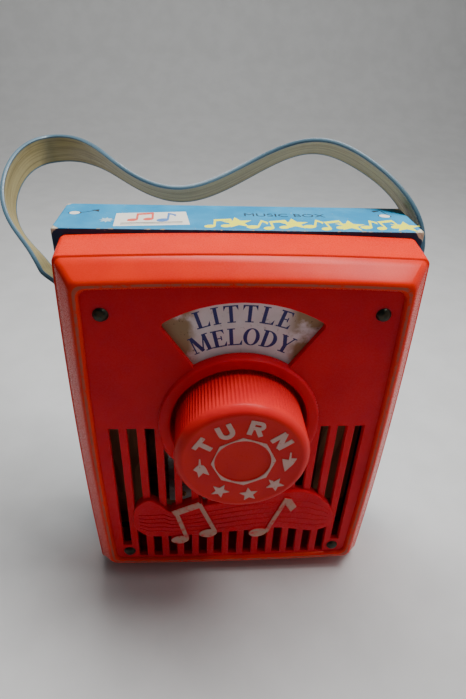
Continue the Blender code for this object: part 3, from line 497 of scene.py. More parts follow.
work = bmesh.new()
columns, rows = 40, 10
grid = {}
for side, y in enumerate((CARD_FRONT, CARD_BACK)):
    for i in range(columns + 1):
        angle = math.radians(CARD_HALF_ANGLE * (2 * i / columns - 1))
        for j in range(rows + 1):
            radius = (CARD_INNER + (CARD_OUTER - CARD_INNER) * j / rows) * MM
            grid[side, i, j] = work.verts.new((radius * math.sin(angle), y,
                                               KNOB_Z + radius * math.cos(angle)))
for side in (0, 1):
    for i in range(columns):
        for j in range(rows):
            work.faces.new([grid[side, i + a, j + b] for a, b in ((0, 0), (1, 0), (1, 1), (0, 1))])
rim = [(i, 0) for i in range(columns)] + [(columns, j) for j in range(rows)]
rim += [(i, rows) for i in range(columns, 0, -1)] + [(0, j) for j in range(rows, 0, -1)]
for (i, j), (k, m) in zip(rim, rim[1:] + rim[:1]):
    work.faces.new((grid[0, i, j], grid[0, k, m], grid[1, k, m], grid[1, i, j]))
show("song_card_print", as_mesh("song_card_print", work), card_stock,
     stands_for=["song_card"])


def block(left, low, right, high):
    return [(left, low), (right, low), (right, high), (left, high)]


def bowl(centre, outer, inner, start, end, count=16):
    """The thick-and-thin curve of a letter, in short pieces."""
    turns = [math.radians(start + (end - start) * i / count) for i in range(count + 1)]
    at, within = ([(centre[0] + math.cos(turn) * wide, centre[1] + math.sin(turn) * tall)
                   for turn in turns] for wide, tall in (outer, inner))
    return [[at[i], at[i + 1], within[i + 1], within[i]] for i in range(count)]


# Each capital is one unit tall: its width, then its strokes.
SERIF = {
    "L": (0.72, [block(.10, 0, .29, 1), block(0, .94, .40, 1), block(0, 0, .72, .07),
                 [(.58, .05), (.72, .05), (.74, .30)]]),
    "I": (0.40, [block(.10, 0, .29, 1), block(0, .94, .40, 1), block(0, 0, .40, .06)]),
    "T": (0.76, [block(.28, 0, .47, 1), block(0, .93, .76, 1), block(.16, 0, .60, .06),
                 [(.0, .95), (.13, .95), (.0, .70)], [(.63, .95), (.76, .95), (.76, .70)]]),
    "E": (0.72, [block(.10, 0, .29, 1), block(0, .93, .66, 1), block(0, 0, .70, .07),
                 block(.25, .48, .50, .54), block(.46, .38, .52, .64),
                 [(.54, .95), (.66, .95), (.67, .72)], [(.56, .05), (.70, .05), (.73, .30)]]),
    "M": (1.06, [block(.10, 0, .17, 1), block(.76, 0, .95, 1), stroke((.17, 1), (.52, .06), .20),
                 stroke((.50, .04), (.84, 1), .07), block(0, 0, .27, .06),
                 block(.66, 0, 1.06, .06), block(0, .94, .22, 1), block(.82, .94, 1.06, 1)]),
    "O": (0.84, bowl((.42, .5), (.42, .51), (.22, .45), 0, 360, 26)),
    "D": (0.84, [block(.10, 0, .29, 1), block(0, .94, .34, 1), block(0, 0, .34, .06)]
          + bowl((.30, .5), (.53, .50), (.32, .44), -90, 90)),
    "Y": (0.84, [stroke((.14, 1), (.42, .42), .20), stroke((.74, 1), (.44, .42), .07),
                 block(.32, 0, .51, .46), block(.20, 0, .63, .06), block(0, .94, .34, 1),
                 block(.60, .94, .86, 1)]),
}


def serif_word(word, tall, radius, gap):
    """A word on an arc round the knob's axis, its feet at radius; all in mm."""
    widths = [SERIF[letter][0] * tall for letter in word]
    total = sum(widths) + gap * (len(word) - 1)
    shapes, travelled = [], 0.0
    for letter, width in zip(word, widths):
        angle = (travelled + width / 2 - total / 2) / (radius + tall / 2)
        local = [[(x * tall - width / 2, y * tall) for x, y in shape]
                 for shape in SERIF[letter][1]]
        shapes += shifted(local, radius * math.sin(angle), radius * math.cos(angle),
                          -math.degrees(angle))
        travelled += width + gap
    return shapes


def on_card(u, v, height):
    return (u, CARD_FRONT - height, KNOB_Z + v)


navy_ink = ink_finish("navy_ink", (0.010, 0.014, 0.17), (0.10, 0.10, 0.22), 0.5)
inked("song_word_upper", serif_word("LITTLE", 5.5, 35.6, 1.15), on_card, film, navy_ink)
inked("song_word_lower", serif_word("MELODY", 5.7, 28.0, 0.45), on_card, film, navy_ink)


# ---- The front cover -----------------------------------------
# One thin red polystyrene moulding: a drafted flange, a creased bevel up to a raised rim, and
# a face with grille slots, a song window, and a ringed well that the knob sits in.
FACE = 18.6                  # mm that each level stands in front of the wooden case
INNER_FACE = 16.4
FLANGE_HALF, FLANGE_LOW, FLANGE_HIGH = 51.9, 2.05, 132.0


def moulded_red(name, bright, deep, worn_colour=None, worn_from=None, worn_to=None, scuff=None,
                sheen=0.05):
    """Glossy red plastic, faintly clouded; its front-most level can be rubbed dull."""
    finish, shader = new_finish(name, bright, 0.3)
    clouds = grain(shader, 70, 3.0)
    dust = grain(shader, 2600, 3.0, 0.65)
    colour = blended(between(clouds, 0.3, 0.75), bright, deep)
    rough = between(dust, 0.35, 0.75, 0.24, 0.36)
    if worn_colour:
        level = between(position(shader)[1], -worn_to * MM, -worn_from * MM, 1.0, 0.0)
        rubbed = between(grain(shader, 380, 4.0, 0.7), scuff - 0.14, scuff + 0.1)
        worn = sums("MULTIPLY", level, rubbed)
        colour = blended(worn, colour, worn_colour)
        rough = sums("ADD", rough, sums("MULTIPLY", worn, 0.3))
    feed(shader, "Base Color", colour)
    feed(shader, "Roughness", rough)
    relief(shader, dust, 0.00002, 0.3)
    for socket, value in (("Specular IOR Level", sheen), ("Subsurface Weight", 0.35),
                          ("Subsurface Radius", (1.0, 0.10, 0.05)), ("Subsurface Scale", 0.003)):
        shader.inputs[socket].default_value = value
    return finish


# Painted light and shade: the rim's red below is a lighter, more orange copy of the face's darker,
# bluer red, for the flange and bevel lit from above and the shaded front of one plastic moulding.
RED, DEEP_RED = (0.68, 0.018, 0.030), (0.60, 0.014, 0.027)
cover_red = moulded_red("cover_red", RED, DEEP_RED)
lit_rim_red = moulded_red("lit_rim_red", (0.74, 0.024, 0.004), (0.67, 0.016, 0.005), (0.42, 0.10, 0.065),
                      19.70, 19.75, 0.44, sheen=0.12)


def cover_ring(inset, ahead, corner):
    return (-ahead * MM, round_corner_outline(
        (FLANGE_HALF - inset) * MM, (FLANGE_LOW + inset) * MM, (FLANGE_HIGH - inset) * MM,
        corner * MM, 1.3 * MM, 1.1 * MM, bays=30, turns=10))


cover_rim_rows = [
    (0.3, 0.05, 1.9), (0.06, 0.2, 2.0), (0.0, 0.6, 2.0), (0.25, 4.5, 2.0), (0.5, 9.0, 2.0),
    (0.74, 12.7, 2.0), (0.82, 13.15, 2.0), (1.0, 13.3, 1.95), (1.3, 13.36, 1.9),
    (1.4, 13.48, 1.9), (1.48, 13.85, 1.9), (2.7, 15.5, 2.0), (3.9, 17.15, 2.1),
    (5.0, 18.7, 2.2), (5.35, 19.12, 2.25), (5.7, 19.45, 2.3), (6.15, 19.68, 2.35),
    (6.7, 19.75, 2.4), (7.3, 19.73, 2.4), (7.7, 19.55, 2.4), (7.95, 19.15, 2.4),
    (8.15, 18.4, 2.4), (8.15, 16.4, 2.4), (7.3, 16.4, 2.2), (3.0, 13.0, 1.4), (2.2, 0.4, 1.2),
    (2.0, 0.05, 1.2)]
show("cover_rim", frame_mesh("cover_rim", [cover_ring(*row) for row in cover_rim_rows]),
     lit_rim_red, stands_for=["front_cover"], smooth=40)


def moulded(name, outlines, front, back, round_by, finish):
    """A flat part of the moulding, its edges rounded, between two levels; outlines in mm."""
    sheet = bpy.data.curves.new(name, "CURVE")
    sheet.dimensions, sheet.fill_mode = "2D", "BOTH"
    sheet.extrude = ((front - back) / 2 - round_by) * MM
    sheet.bevel_depth, sheet.bevel_resolution, sheet.offset = round_by * MM, 2, -round_by * MM
    for outline in outlines:
        spline = sheet.splines.new("POLY")
        spline.points.add(len(outline) - 1)
        for point, (u, v) in zip(spline.points, outline):
            point.co = (u * MM, v * MM, 0.0, 1.0)
        spline.use_cyclic_u = True
    mesh = solid_from(sheet)
    mesh.transform(Matrix.Translation((0.0, -(front + back) / 2 * MM, 0.0))
                   @ Matrix.Rotation(math.pi / 2, 4, "X"))
    piece = show(name, mesh, finish, smooth=40)
    piece.modifiers.new("even_shading", "WEIGHTED_NORMAL").keep_sharp = True


def eased(points, at, reach, count=5):
    """The outline with the corner at index at turned into a curve that starts reach from it."""
    before, corner, after = (Vector(points[k % len(points)]) for k in (at - 1, at, at + 1))
    first = corner + (before - corner).normalized() * reach
    last = corner + (after - corner).normalized() * reach
    curve = []
    for i in range(count + 1):
        t = i / count
        curve.append(tuple(first * (1 - t) ** 2 + corner * 2 * t * (1 - t) + last * t * t))
    return points[:at] + curve + points[at + 1:]


def sector(inner, outer, half_angle, count=12):
    """A window round the knob's axis with rounded corners, in mm from that axis."""
    turn = math.radians(half_angle)
    lower = [(inner * math.sin(a), inner * math.cos(a))
             for a in (-turn + 2 * turn * i / count for i in range(count + 1))]
    upper = [(outer * math.sin(a), outer * math.cos(a))
             for a in (turn - 2 * turn * i / count for i in range(count + 1))]
    corners = [(2 * count + 1, 2.0), (count + 1, 2.0), (count, 1.1), (0, 1.1)]
    outline = lower + upper
    for at, reach in corners:
        outline = eased(outline, at, reach)
    return outline


WINDOW_INNER, WINDOW_OUTER, WINDOW_HALF_ANGLE, WELL_WIDE = 24.8, 42.9, 33.5, 46.0
SLOT_PITCH, SLOT_HALF, SLOT_LOW, END_SLOT_LOW, SLOT_TOP = 5.65, 1.55, 10.4, 17.2, 75.4
RING_MARGIN = 26.4           # radius round the knob's axis that the slots stop at
axis_up = KNOB_Z / MM
slots = []
for index in range(-7, 8):
    x = index * SLOT_PITCH
    low = END_SLOT_LOW if abs(index) == 7 else SLOT_LOW
    if abs(x) < RING_MARGIN:
        under_ring = [(x + SLOT_HALF * (1 - 2 * i / 6),
                       axis_up - math.sqrt(RING_MARGIN ** 2 - (x + SLOT_HALF * (1 - i / 3)) ** 2))
                      for i in range(7)]
        slots.append([(x - SLOT_HALF, low), (x + SLOT_HALF, low)] + under_ring)
    else:
        slots.append(block(x - SLOT_HALF, low, x + SLOT_HALF, SLOT_TOP))
face_edge = [(x / MM, z / MM) for x, z in cover_ring(7.85, 0, 2.4)[1]]
window = [(x, y + axis_up) for x, y in sector(WINDOW_INNER, WINDOW_OUTER, WINDOW_HALF_ANGLE)]
well = [(x, y + axis_up) for x, y in oval(0, 0, WELL_WIDE, WELL_WIDE, count=96)]
moulded("cover_face", [face_edge, window, well] + slots, FACE, INNER_FACE, 0.22, cover_red)


def turned_mesh(name, profile, centre_up, count, shape=None):
    """A piece turned about an axis along Y: (radius, level) rows in mm, closed on itself."""
    work = bmesh.new()
    rows = []
    for radius, ahead in profile:
        row = []
        for i in range(count):
            angle = 2 * math.pi * i / count
            r = radius if shape is None else shape(radius, ahead, angle)
            row.append(work.verts.new((r * MM * math.sin(angle), -ahead * MM,
                                       centre_up + r * MM * math.cos(angle))))
        rows.append(row)
    bridge(work, rows)
    if profile[0] == profile[-1]:
        bmesh.ops.remove_doubles(work, verts=rows[0] + rows[-1], dist=1e-7)
    else:
        work.faces.new(rows[0])
        work.faces.new(rows[-1])
    return as_mesh(name, work)


ring_profile = [
    (25.55, 16.6), (25.55, 18.5), (25.35, 18.75), (25.2, 19.2), (25.15, 19.7), (24.95, 19.93),
    (24.6, 20.0), (23.4, 20.0), (22.2, 20.0), (21.85, 19.9), (21.65, 19.65), (21.6, 19.2),
    (21.6, 11.8), (21.4, 11.5), (2.4, 11.5), (2.4, 9.5), (23.2, 9.5), (23.2, 16.6), (25.55, 16.6)]
show("knob_ring", turned_mesh("knob_ring", ring_profile, KNOB_Z, 144), cover_red, smooth=40)


# ---- The ribbon and its notes --------------------------------
# Moulded with the cover, across the lower grille: a waving ribbon with five fine staff lines,
# and a beamed pair and a single note that stand highest, so their faces are rubbed grey.
def flowing(points, finer=6):
    """The same closed outline with smooth curves through its points."""
    count, made = len(points), []
    for i in range(count):
        a, b, c, d = (Vector(points[(i + k) % count]) for k in (-1, 0, 1, 2))
        for k in range(finer):
            t = k / finer
            made.append(tuple(0.5 * (2 * b + (c - a) * t + (2 * a - 5 * b + 4 * c - d) * t * t
                                     + (3 * b - a - 3 * c + d) * t ** 3)))
    return made


RIBBON_TOP = [(-36.3, 32), (-35, 39), (-30.5, 43.2), (-26.5, 40.5), (-23, 37), (-18, 37.5),
              (-10, 40), (0, 42), (10, 44), (20, 46), (27, 45), (32, 41), (35.5, 36), (36.6, 31)]
RIBBON_LOW = [(35, 26.5), (30, 24.3), (23, 25.5), (15, 26.6), (6, 25.6), (-4, 24.8),
              (-14, 23.8), (-24, 23.3), (-31, 23.8), (-35, 27)]
RIBBON_FACE, NOTE_FACE = 19.8, 20.4
moulded("ribbon", [flowing((RIBBON_TOP + RIBBON_LOW)[::-1])], RIBBON_FACE, 16.5, 0.3, cover_red)


def height_along(points, x):
    points = sorted(points)
    for (xa, ya), (xb, yb) in zip(points, points[1:]):
        if xa <= x <= xb:
            return ya + (yb - ya) * (x - xa) / (xb - xa)
    return points[0][1] if x < points[0][0] else points[-1][1]


def round_bead(name, points, radius, finish, sides=8):
    """A thin round bead along points, in metres."""
    turns = [2 * math.pi * i / sides for i in range(sides)]
    work = bmesh.new()
    loops = []
    for index, point in enumerate(points):
        ahead = (points[min(index + 1, len(points) - 1)] - points[max(index - 1, 0)]).normalized()
        first = ahead.orthogonal().normalized()
        second = ahead.cross(first)
        loops.append([work.verts.new(point + radius * (first * math.cos(turn)
                                                       + second * math.sin(turn)))
                      for turn in turns])
    bridge(work, loops)
    work.faces.new(loops[0])
    work.faces.new(loops[-1])
    show(name, as_mesh(name, work), finish, smooth=60)


for line in range(5):
    share = 0.18 + 0.15 * line
    points = []
    for i in range(61):
        x = -34.2 + 68.6 * i / 60
        low, high = height_along(RIBBON_LOW, x), height_along(RIBBON_TOP, x)
        high = min(high, 37.5 + 0.15 * (x + 34)) if x < -20 else high
        wave = 0.35 * math.sin(x / 5.5 + line * 0.3)
        points.append(Vector((x, -RIBBON_FACE, low + (high - low) * share + wave)) * MM)
    round_bead(f"staff_line_{line + 1}", points, 0.17 * MM, cover_red)

note_red = moulded_red("note_red", RED, DEEP_RED, (0.50, 0.28, 0.22), 20.28, 20.38, 0.42)
head = (6.8, 4.6)
note_shapes = {
    "pair_head_left": oval(-19.7, 21.9, *head, 12, 32),
    "pair_head_right": oval(-9.4, 25.2, *head, 12, 32),
    "single_head": oval(9.0, 24.8, *head, 12, 32),
    "pair_stem_left": stroke((-21.0, 37.8), (-17.2, 22.8), 1.6),
    "pair_stem_right": stroke((-12.6, 41.5), (-6.8, 26.0), 1.6),
    "pair_beam": stroke((-21.9, 36.6), (-12.2, 41.2), 3.0),
    "single_stem": stroke((12.0, 25.0), (18.2, 42.8), 1.6),
    "single_flag": [(17.5, 43.4), (20.0, 42.8), (22.2, 38.8), (20.4, 36.2), (18.2, 39.8)]}
for index, (name, shape) in enumerate(note_shapes.items()):
    if "head" not in name:
        winding = sum((b[0] - a[0]) * (b[1] + a[1]) for a, b in zip(shape, shape[1:] + shape[:1]))
        shape = shape[::-1] if winding > 0 else shape
    moulded(name, [shape], NOTE_FACE + 0.02 * index, 16.6, 0.28, note_red)


# ---- The nails -----------------------------------------------
# Domed steel nails, gone greenish black: four through the cover into the frame, four through
# the back, and one at each side that the strap swings on. Each head is a little uneven.
tarnished, shader = new_finish("tarnished_nail", (0.05, 0.05, 0.045), 0.42, 0.85)
rust = between(grain(shader, 900, 4.0, 0.7), 0.42, 0.66)
feed(shader, "Base Color", blended(rust, (0.02, 0.026, 0.02), (0.07, 0.05, 0.03)))
feed(shader, "Roughness", between(rust, 0.0, 1.0, 0.30, 0.7))
relief(shader, grain(shader, 1400, 3.0, 0.6), 0.00008, 0.7)


# The dome, then the shank: distance from the middle in head radii, height in dome heights.
NAIL_DOME, NAIL_SIDES = 1.2 * MM, 36
NAIL_PROFILE = [(0.0, 1.0), (0.2, 0.985), (0.42, 0.91), (0.64, 0.76), (0.82, 0.52), (0.94, 0.25),
                (1.0, 0.05), (0.97, -0.02), (0.40, -0.02), (0.40, -4.0)]


def nail_head(name, node, seed, toward):
    """A domed head and a short shank over a CAD nail; toward is the way its head faces."""
    low, high = (Vector(corner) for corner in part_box(node))
    along = 0 if toward[0] else 1
    radius = (high - low)[1 - along] * 0.47
    seat = (low + high) / 2
    crown = high[along] if toward[along] > 0 else low[along]
    seat[along] = crown - toward[along] * NAIL_DOME
    facing = Vector(toward).to_track_quat("Z", "Y").to_matrix()
    work = bmesh.new()
    rings = []
    for r, h in NAIL_PROFILE:
        ring = []
        for i in range(NAIL_SIDES):
            angle = 2 * math.pi * i / NAIL_SIDES
            uneven = 1 + 0.025 * math.sin(2 * angle + seed) + 0.015 * math.sin(3 * angle + 2 * seed)
            reach = r * radius * min(uneven, 1.02)
            dent = 0.05 * math.sin(2.3 * angle + seed) * (1 - r) * (r > 0)
            ring.append(work.verts.new(seat + facing @ Vector((
                reach * math.cos(angle), reach * math.sin(angle), (h + dent) * NAIL_DOME))))
        rings.append(ring)
    bridge(work, rings)
    bmesh.ops.remove_doubles(work, verts=rings[0], dist=1e-6)
    work.faces.new(rings[-1])
    show(name, as_mesh(name, work), tarnished, smooth=50, stands_for=[node])


for number in range(1, 5):
    nail_head(f"face_nail_{number}", f"cover_nail_{number}", number, (0, -1, 0))
    nail_head(f"rear_nail_{number}", f"back_nail_{number}", number + 5, (0, 1, 0))
nail_head("side_nail_left", "strap_nail_left", 2.2, (-1, 0, 0))
nail_head("side_nail_right", "strap_nail_right", 4.1, (1, 0, 0))


# ---- The winding knob ----------------------------------------
# A deep moulded cap pressed on the arbor. Its side is finely ribbed and its front edge rounded;
# its face has a raised eight-sided ring, an arrow's tail and head, the word to turn it, and stars.
knob_red, shader = new_finish("knob_red", (0.76, 0.020, 0.002), 0.34)
clouds = grain(shader, 120, 3.0)
fine = grain(shader, 2400, 3.0, 0.65)
feed(shader, "Base Color", blended(between(clouds, 0.3, 0.75), (0.72, 0.022, 0.020),
                                   (0.64, 0.016, 0.020)))
feed(shader, "Roughness", between(fine, 0.35, 0.75, 0.27, 0.46))
relief(shader, fine, 0.00002, 0.4)
shader.inputs["Specular IOR Level"].default_value = 0.08

RIBS, RIB_DEEP = 110, 0.22
KNOB_FACE, KNOB_HOLLOW = 35.33, 35.08          # levels that the marks lie on, in mm
knob_profile = [
    (18.0, 33.0), (18.0, 12.5), (19.2, 12.5), (19.7, 12.75), (19.9, 13.2), (20.02, 13.6),
    (20.02, 14.2), (20.02, 20.0), (20.02, 27.0), (20.02, 32.2), (20.05, 32.8), (20.02, 33.2),
    (19.85, 33.75), (19.55, 34.25), (19.15, 34.72), (18.65, 35.12), (18.1, 35.38),
    (17.55, 35.5), (17.1, 35.46), (16.8, 35.38), (14.0, 35.35), (9.0, 35.35), (8.15, 35.35),
    (8.0, 35.3), (7.85, 35.12), (7.7, KNOB_HOLLOW), (3.0, KNOB_HOLLOW), (0.05, KNOB_HOLLOW)]


def ribbed(radius, ahead, angle):
    if radius < 20.0 or ahead > 32.6 or ahead < 13.5:
        return radius
    fade = min((32.6 - ahead) / 0.4, 1.0) * min((ahead - 13.5) / 0.5, 1.0)
    return radius - RIB_DEEP * fade * (0.5 - 0.5 * math.cos(RIBS * angle)) ** 0.8


knob_mesh = turned_mesh("knob_cap", knob_profile, KNOB_Z, RIBS * 6, ribbed)
show("knob_cap", knob_mesh, knob_red, "winder", smooth=30, stands_for=["winding_knob"])

rubbed_mark, shader = new_finish("rubbed_mark", (0.36, 0.25, 0.22), 0.5)
patches = between(grain(shader, 700, 4.0, 0.65), 0.60, 0.72)
feed(shader, "Base Color", blended(patches, (0.62, 0.36, 0.31), (0.60, 0.06, 0.03)))
relief(shader, grain(shader, 2000, 3.0), 0.00003, 0.5)


def on_knob(level):
    return lambda u, v, height: (u, -level * MM - height, KNOB_Z + v)


eight, hole = [Vector(point) for point in oval(0.2, -0.1, 18.9, 18.9, 3, 8)], 8.3
octagon = []
for i in range(48):
    a, b = 2 * math.pi * i / 48, 2 * math.pi * (i + 1) / 48
    first, last = eight[i // 6], eight[(i // 6 + 1) % 8]
    octagon.append([(hole * math.cos(a), hole * math.sin(a)),
                    tuple(first.lerp(last, (i % 6) / 6)), tuple(first.lerp(last, (i % 6 + 1) / 6)),
                    (hole * math.cos(b), hole * math.sin(b))])
marks = {
    "mark_octagon": octagon,
    "mark_T": shifted([block(-2.1, 1.0, 2.1, 2.2), block(-0.65, -2.2, 0.65, 1.1)],
                      -11.3, 6.5, 57, 1.16),
    "mark_U": shifted([block(-2.1, -0.5, -0.85, 2.2), block(0.85, -0.5, 2.1, 2.2)]
                      + bowl((0, -0.35), (2.1, 1.9), (0.85, 0.7), 180, 360, 12),
                      -5.2, 11.6, 24, 1.16),
    "mark_R": shifted([block(-1.9, -2.2, -0.65, 2.2), block(-0.7, 1.2, 0.7, 2.2),
                       block(-0.7, -0.45, 0.7, 0.5), stroke((0.2, 0.0), (1.65, -2.2), 1.2)]
                      + bowl((0.6, 0.88), (1.4, 1.33), (0.3, 0.4), -90, 90, 10),
                      3.3, 12.8, -14, 1.16),
    "mark_N": shifted([block(-2.1, -2.2, -0.9, 2.2), block(0.9, -2.2, 2.1, 2.2),
                       stroke((-1.55, 2.0), (1.55, -2.0), 1.35)], 10.8, 7.9, -53, 1.16),
    "mark_tail": shifted([[(-0.45, 3.4), (-0.1, 3.4), (0.1, 1.1), (0.9, 0.8), (1.6, -0.4),
                           (2.5, -3.0), (0.7, -2.1), (-0.6, -3.9), (-1.0, -1.7), (-2.1, -0.8),
                           (-1.3, 0.4), (-0.6, 1.0)]], -12.2, -2.0),
    "mark_head": shifted([[(0.05, 3.6), (0.45, 3.6), (0.5, 1.3), (2.2, 1.2), (1.3, -1.0),
                           (-0.9, -4.0), (-1.6, -1.4), (-2.1, 1.1), (-0.1, 0.7)]], 13.5, -0.2),
    "mark_stars": [star(-6.4, -12.0, 5, 2.85, 1.3, 28), star(2.4, -13.7, 5, 2.85, 1.3, -8),
                   star(10.1, -9.7, 5, 2.85, 1.3, -44)],
}
for name, shapes in marks.items():
    inked(name, shapes, on_knob(KNOB_FACE), 0.22 * MM, rubbed_mark, "winder")
inked("gate_mark", [oval(-0.7, 1.9, 0.9, 0.9)], on_knob(KNOB_HOLLOW), 0.05 * MM, knob_red,
      "winder")


# ---- The carrying strap --------------------------------------
# A flat strip of soft vinyl with welted edges, cream inside and grey-blue outside, nailed to
# each side of the case. Age has set it in a lazy S over the back of the case.
PIVOT_Y = 11.0
PIVOT_Z = sum(corner[2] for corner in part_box("strap_nail_left")) / 2 / MM
STRAP_HALF, STRAP_THICK, STRAP_TAIL, STRAP_FLAT = 6.25, 1.4, 8.0, 5.0
# Across the case, distance from the nails' axis (mm), and lean back from upright (degrees).
STRAP_ROUTE = [(-55.5, 0, -3), (-66, 16, 32), (-77, 36.5, 45.5), (-71, 68.5, 60),
               (-51.5, 57.5, 50.5), (-36, 41.5, 35), (-16, 36.5, 37), (7, 47, 38.5),
               (25, 51.5, 30.5), (41.5, 45, 25), (58.4, 25, 16), (55.5, 0, 22)]


def natural_spline(values, count):
    last = len(values) - 1
    lower, slope, target = [0.0] * (last + 1), [0.0] * (last + 1), [0.0] * (last + 1)
    for i in range(1, last):
        pull = 6 * (values[i - 1] - 2 * values[i] + values[i + 1])
        lower[i] = 1 / (4 - lower[i - 1])
        target[i] = (pull - target[i - 1]) * lower[i]
    for i in range(last - 1, 0, -1):
        slope[i] = target[i] - lower[i] * slope[i + 1]
    read = []
    for k in range(count):
        place = last * k / (count - 1)
        i = min(int(place), last - 1)
        b = place - i
        a = 1 - b
        read.append(a * values[i] + b * values[i + 1]
                    + ((a ** 3 - a) * slope[i] + (b ** 3 - b) * slope[i + 1]) / 6)
    return read


# The section, from its inner face round: across the width (-1..1), through the thickness.
STRAP_SECTION = [(-0.88, -0.80), (-0.5, -0.84), (0.0, -0.86), (0.5, -0.84), (0.88, -0.80),
                 (0.93, -0.98), (0.975, -0.92), (1.0, -0.5), (1.0, 0.5), (0.975, 0.9),
                 (0.92, 1.0), (0.86, 0.86), (0.4, 0.9), (-0.4, 0.9), (-0.86, 0.86),
                 (-0.92, 1.0), (-0.975, 0.9), (-1.0, 0.5), (-1.0, -0.5), (-0.975, -0.92),
                 (-0.93, -0.98)]
INNER_BAYS = 4               # section bays that show the cream inner face

stations = []
for x, r, degrees in zip(*(natural_spline([row[i] for row in STRAP_ROUTE], 281)
                           for i in range(3))):
    lean = math.radians(degrees)
    side = math.copysign(-STRAP_ROUTE[0][0], x)
    free = min(max((r - STRAP_FLAT) / STRAP_FLAT, 0.0), 1.0)
    free = free * free * (3 - 2 * free)
    x = side + (x - side) * free if abs(x) > 50 and r < 2 * STRAP_FLAT else x
    stations.append((Vector((x, PIVOT_Y + r * math.sin(lean), PIVOT_Z + r * math.cos(lean))),
                     Vector((0.0, math.cos(lean), -math.sin(lean)))))
for end in (0, -1):
    middle, width = stations[end]
    upward = Vector((1.0, 0.0, 0.0)).cross(width)
    tail = [(middle - upward * STRAP_TAIL * share, width)
            for share in (0.25, 0.5, 0.75, 0.93, 1.0)]
    stations = tail[::-1] + stations if end == 0 else stations + tail

work = bmesh.new()
uv = work.loops.layers.uv.new("along")
loops, run, last = [], 0.0, len(stations) - 1
lengths = []
for index, (middle, width) in enumerate(stations):
    ahead = stations[min(index + 1, last)][0] - stations[max(index - 1, 0)][0]
    if index <= 6 or index >= last - 6:
        ahead = Vector((1.0, 0.0, 0.0)).cross(width) * (1.0 if index < 20 else -1.0)
    outward = ahead.normalized().cross(width).normalized()
    run += (middle - stations[max(index - 1, 0)][0]).length
    lengths.append(run)
    taper = 0.72 if index in (0, last) else 0.93 if index in (1, last - 1) else 1.0
    loops.append([work.verts.new((middle + width * STRAP_HALF * taper * u
                                  + outward * STRAP_THICK / 2 * v) * MM)
                  for u, v in STRAP_SECTION])
around = len(STRAP_SECTION)
for k, (near, far) in enumerate(zip(loops, loops[1:])):
    for i in range(around):
        after = (i + 1) % around
        face = work.faces.new((near[i], near[after], far[after], far[i]))
        face.material_index = 0 if i < INNER_BAYS else 1
        for corner, (m, j) in zip(face.loops, ((k, i), (k, i + 1), (k + 1, i + 1), (k + 1, i))):
            corner[uv].uv = (lengths[m] / 100, j / around)
for end in (loops[0], loops[-1]):
    work.faces.new(end).material_index = 1


def vinyl(name, pale, dark, streak_colour, gloss):
    """Soft vinyl with lengthwise streaks from its calendering, and grime in the low places."""
    finish, shader = new_finish(name, pale, gloss)
    along = step(shader, "ShaderNodeUVMap", {}, uv_map="along").outputs[0]
    drawn = step(shader, "ShaderNodeMapping",
                 {"Vector": along, "Scale": (2.2, 60.0, 1.0)}).outputs[0]
    streaks = step(shader, "ShaderNodeTexNoise", {"Vector": drawn, "Scale": 1.0, "Detail": 4.0,
                                                  "Roughness": 0.6}).outputs["Fac"]
    grime = grain(shader, 130, 4.0, 0.6)
    skin = grain(shader, 2200, 3.0, 0.6)
    tone = blended(between(streaks, 0.38, 0.68), pale, dark)
    tone = blended(between(streaks, 0.62, 0.74, 0.0, 0.6), tone, streak_colour)
    tone = blended(between(grime, 0.5, 0.8, 0.0, 0.45), tone, dark)
    feed(shader, "Base Color", tone)
    feed(shader, "Roughness", between(skin, 0.3, 0.8, gloss - 0.08, gloss + 0.14))
    relief(shader, sums("ADD", skin, streaks), 0.00005, 0.5)
    return finish


strap_mesh = as_mesh("strap", work)
strap_mesh.materials.append(vinyl("strap_cream", (0.36, 0.29, 0.12), (0.18, 0.135, 0.045),
                                  (0.12, 0.08, 0.03), 0.5))
strap_mesh.materials.append(vinyl("strap_blue", (0.075, 0.15, 0.20), (0.045, 0.09, 0.125),
                                  (0.16, 0.23, 0.26), 0.42))
show("strap", strap_mesh, None, "strap", smooth=45, stands_for=["carry_strap"])


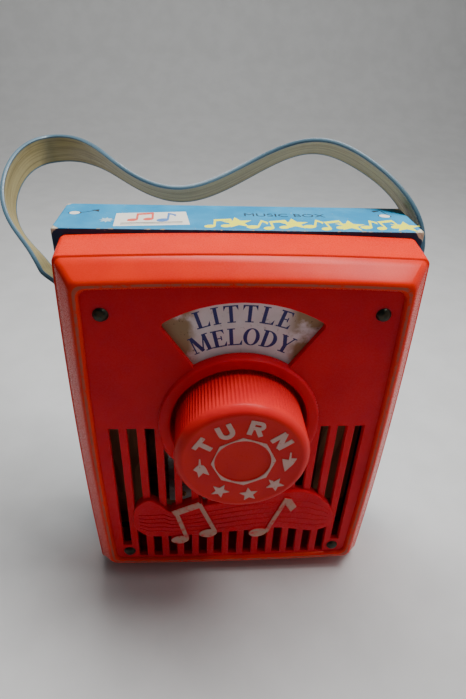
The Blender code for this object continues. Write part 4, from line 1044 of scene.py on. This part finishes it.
# ---- The table, the light and the camera ---------------------
# A pale table top curving up behind, soft light from above that catches the top of the toy, a
# wash on the table behind, weak light from the front and right, and a small one on the corner.
work = bmesh.new()
deep = [(-0.9, 0.0), (0.55, 0.0), (0.70, 0.012), (0.82, 0.05), (0.92, 0.13), (0.98, 0.26),
        (1.0, 0.9)]
left = [work.verts.new((-1.6, y, z)) for y, z in deep]
right = [work.verts.new((1.6, y, z)) for y, z in deep]
for i in range(len(deep) - 1):
    work.faces.new((left[i], right[i], right[i + 1], left[i + 1]))
backdrop_mesh = as_mesh("table_top", work)
table_finish, shader = new_finish("table_paper", (0.62, 0.62, 0.61), 0.8)
feed(shader, "Base Color", blended(between(grain(shader, 40, 3.0), 0.3, 0.7),
                                   (0.60, 0.60, 0.59), (0.64, 0.64, 0.63)))
backdrop = bpy.data.objects.new("table_top", backdrop_mesh)
backdrop_mesh.materials.append(table_finish)
backdrop_mesh.shade_smooth()
put_in(backdrop)


def soft_light(name, power, size, place, target=(0.0, 0.0, 0.07)):
    lamp = bpy.data.lights.new(name, "AREA")
    lamp.energy, lamp.shape = power, "RECTANGLE"
    lamp.size, lamp.size_y = size
    holder = bpy.data.objects.new(name, lamp)
    holder.location = place
    holder.rotation_euler = (Vector(target) - Vector(place)).to_track_quat("-Z", "Y").to_euler()
    put_in(holder)


soft_light("sky_light", 3.1, (0.42, 0.10), (0.05, 0.065, 0.45), (0.0, 0.0, 0.11))
soft_light("back_wash", 3.0, (1.2, 0.3), (0.0, 0.45, 0.75), (0.0, 0.9, 0.15))
soft_light("front_fill", 0.16, (0.9, 0.7), (-0.35, -0.85, 0.45))
soft_light("side_fill", 1.1, (0.5, 0.7), (0.75, -0.05, 0.30))
soft_light("corner_light", 0.24, (0.035, 0.035), (0.245, -0.16, 0.565), (0.045, -0.016, 0.13))
room = bpy.data.worlds.new("room")
room.use_nodes = True
glow = room.node_tree.nodes["Background"].inputs
glow["Color"].default_value, glow["Strength"].default_value = (0.9, 0.93, 1.0, 1.0), 0.07
bpy.context.scene.world = room

eye = bpy.data.cameras.new("eye")
eye.sensor_fit, eye.sensor_height, eye.lens, eye.clip_start = "VERTICAL", 36.0, 25.876, 0.005
camera = bpy.data.objects.new("eye", eye)
heading, tilt, roll = 0.082, 0.579, 0.041
camera.matrix_world = (Matrix.Translation((-0.01268, -0.13860, 0.18396))
                       @ Matrix.Rotation(-heading, 4, "Z") @ Matrix.Rotation(-tilt, 4, "X")
                       @ Matrix.Rotation(-roll, 4, "Y") @ Matrix.Rotation(math.pi / 2, 4, "X"))
put_in(camera)
bpy.context.scene.camera = camera
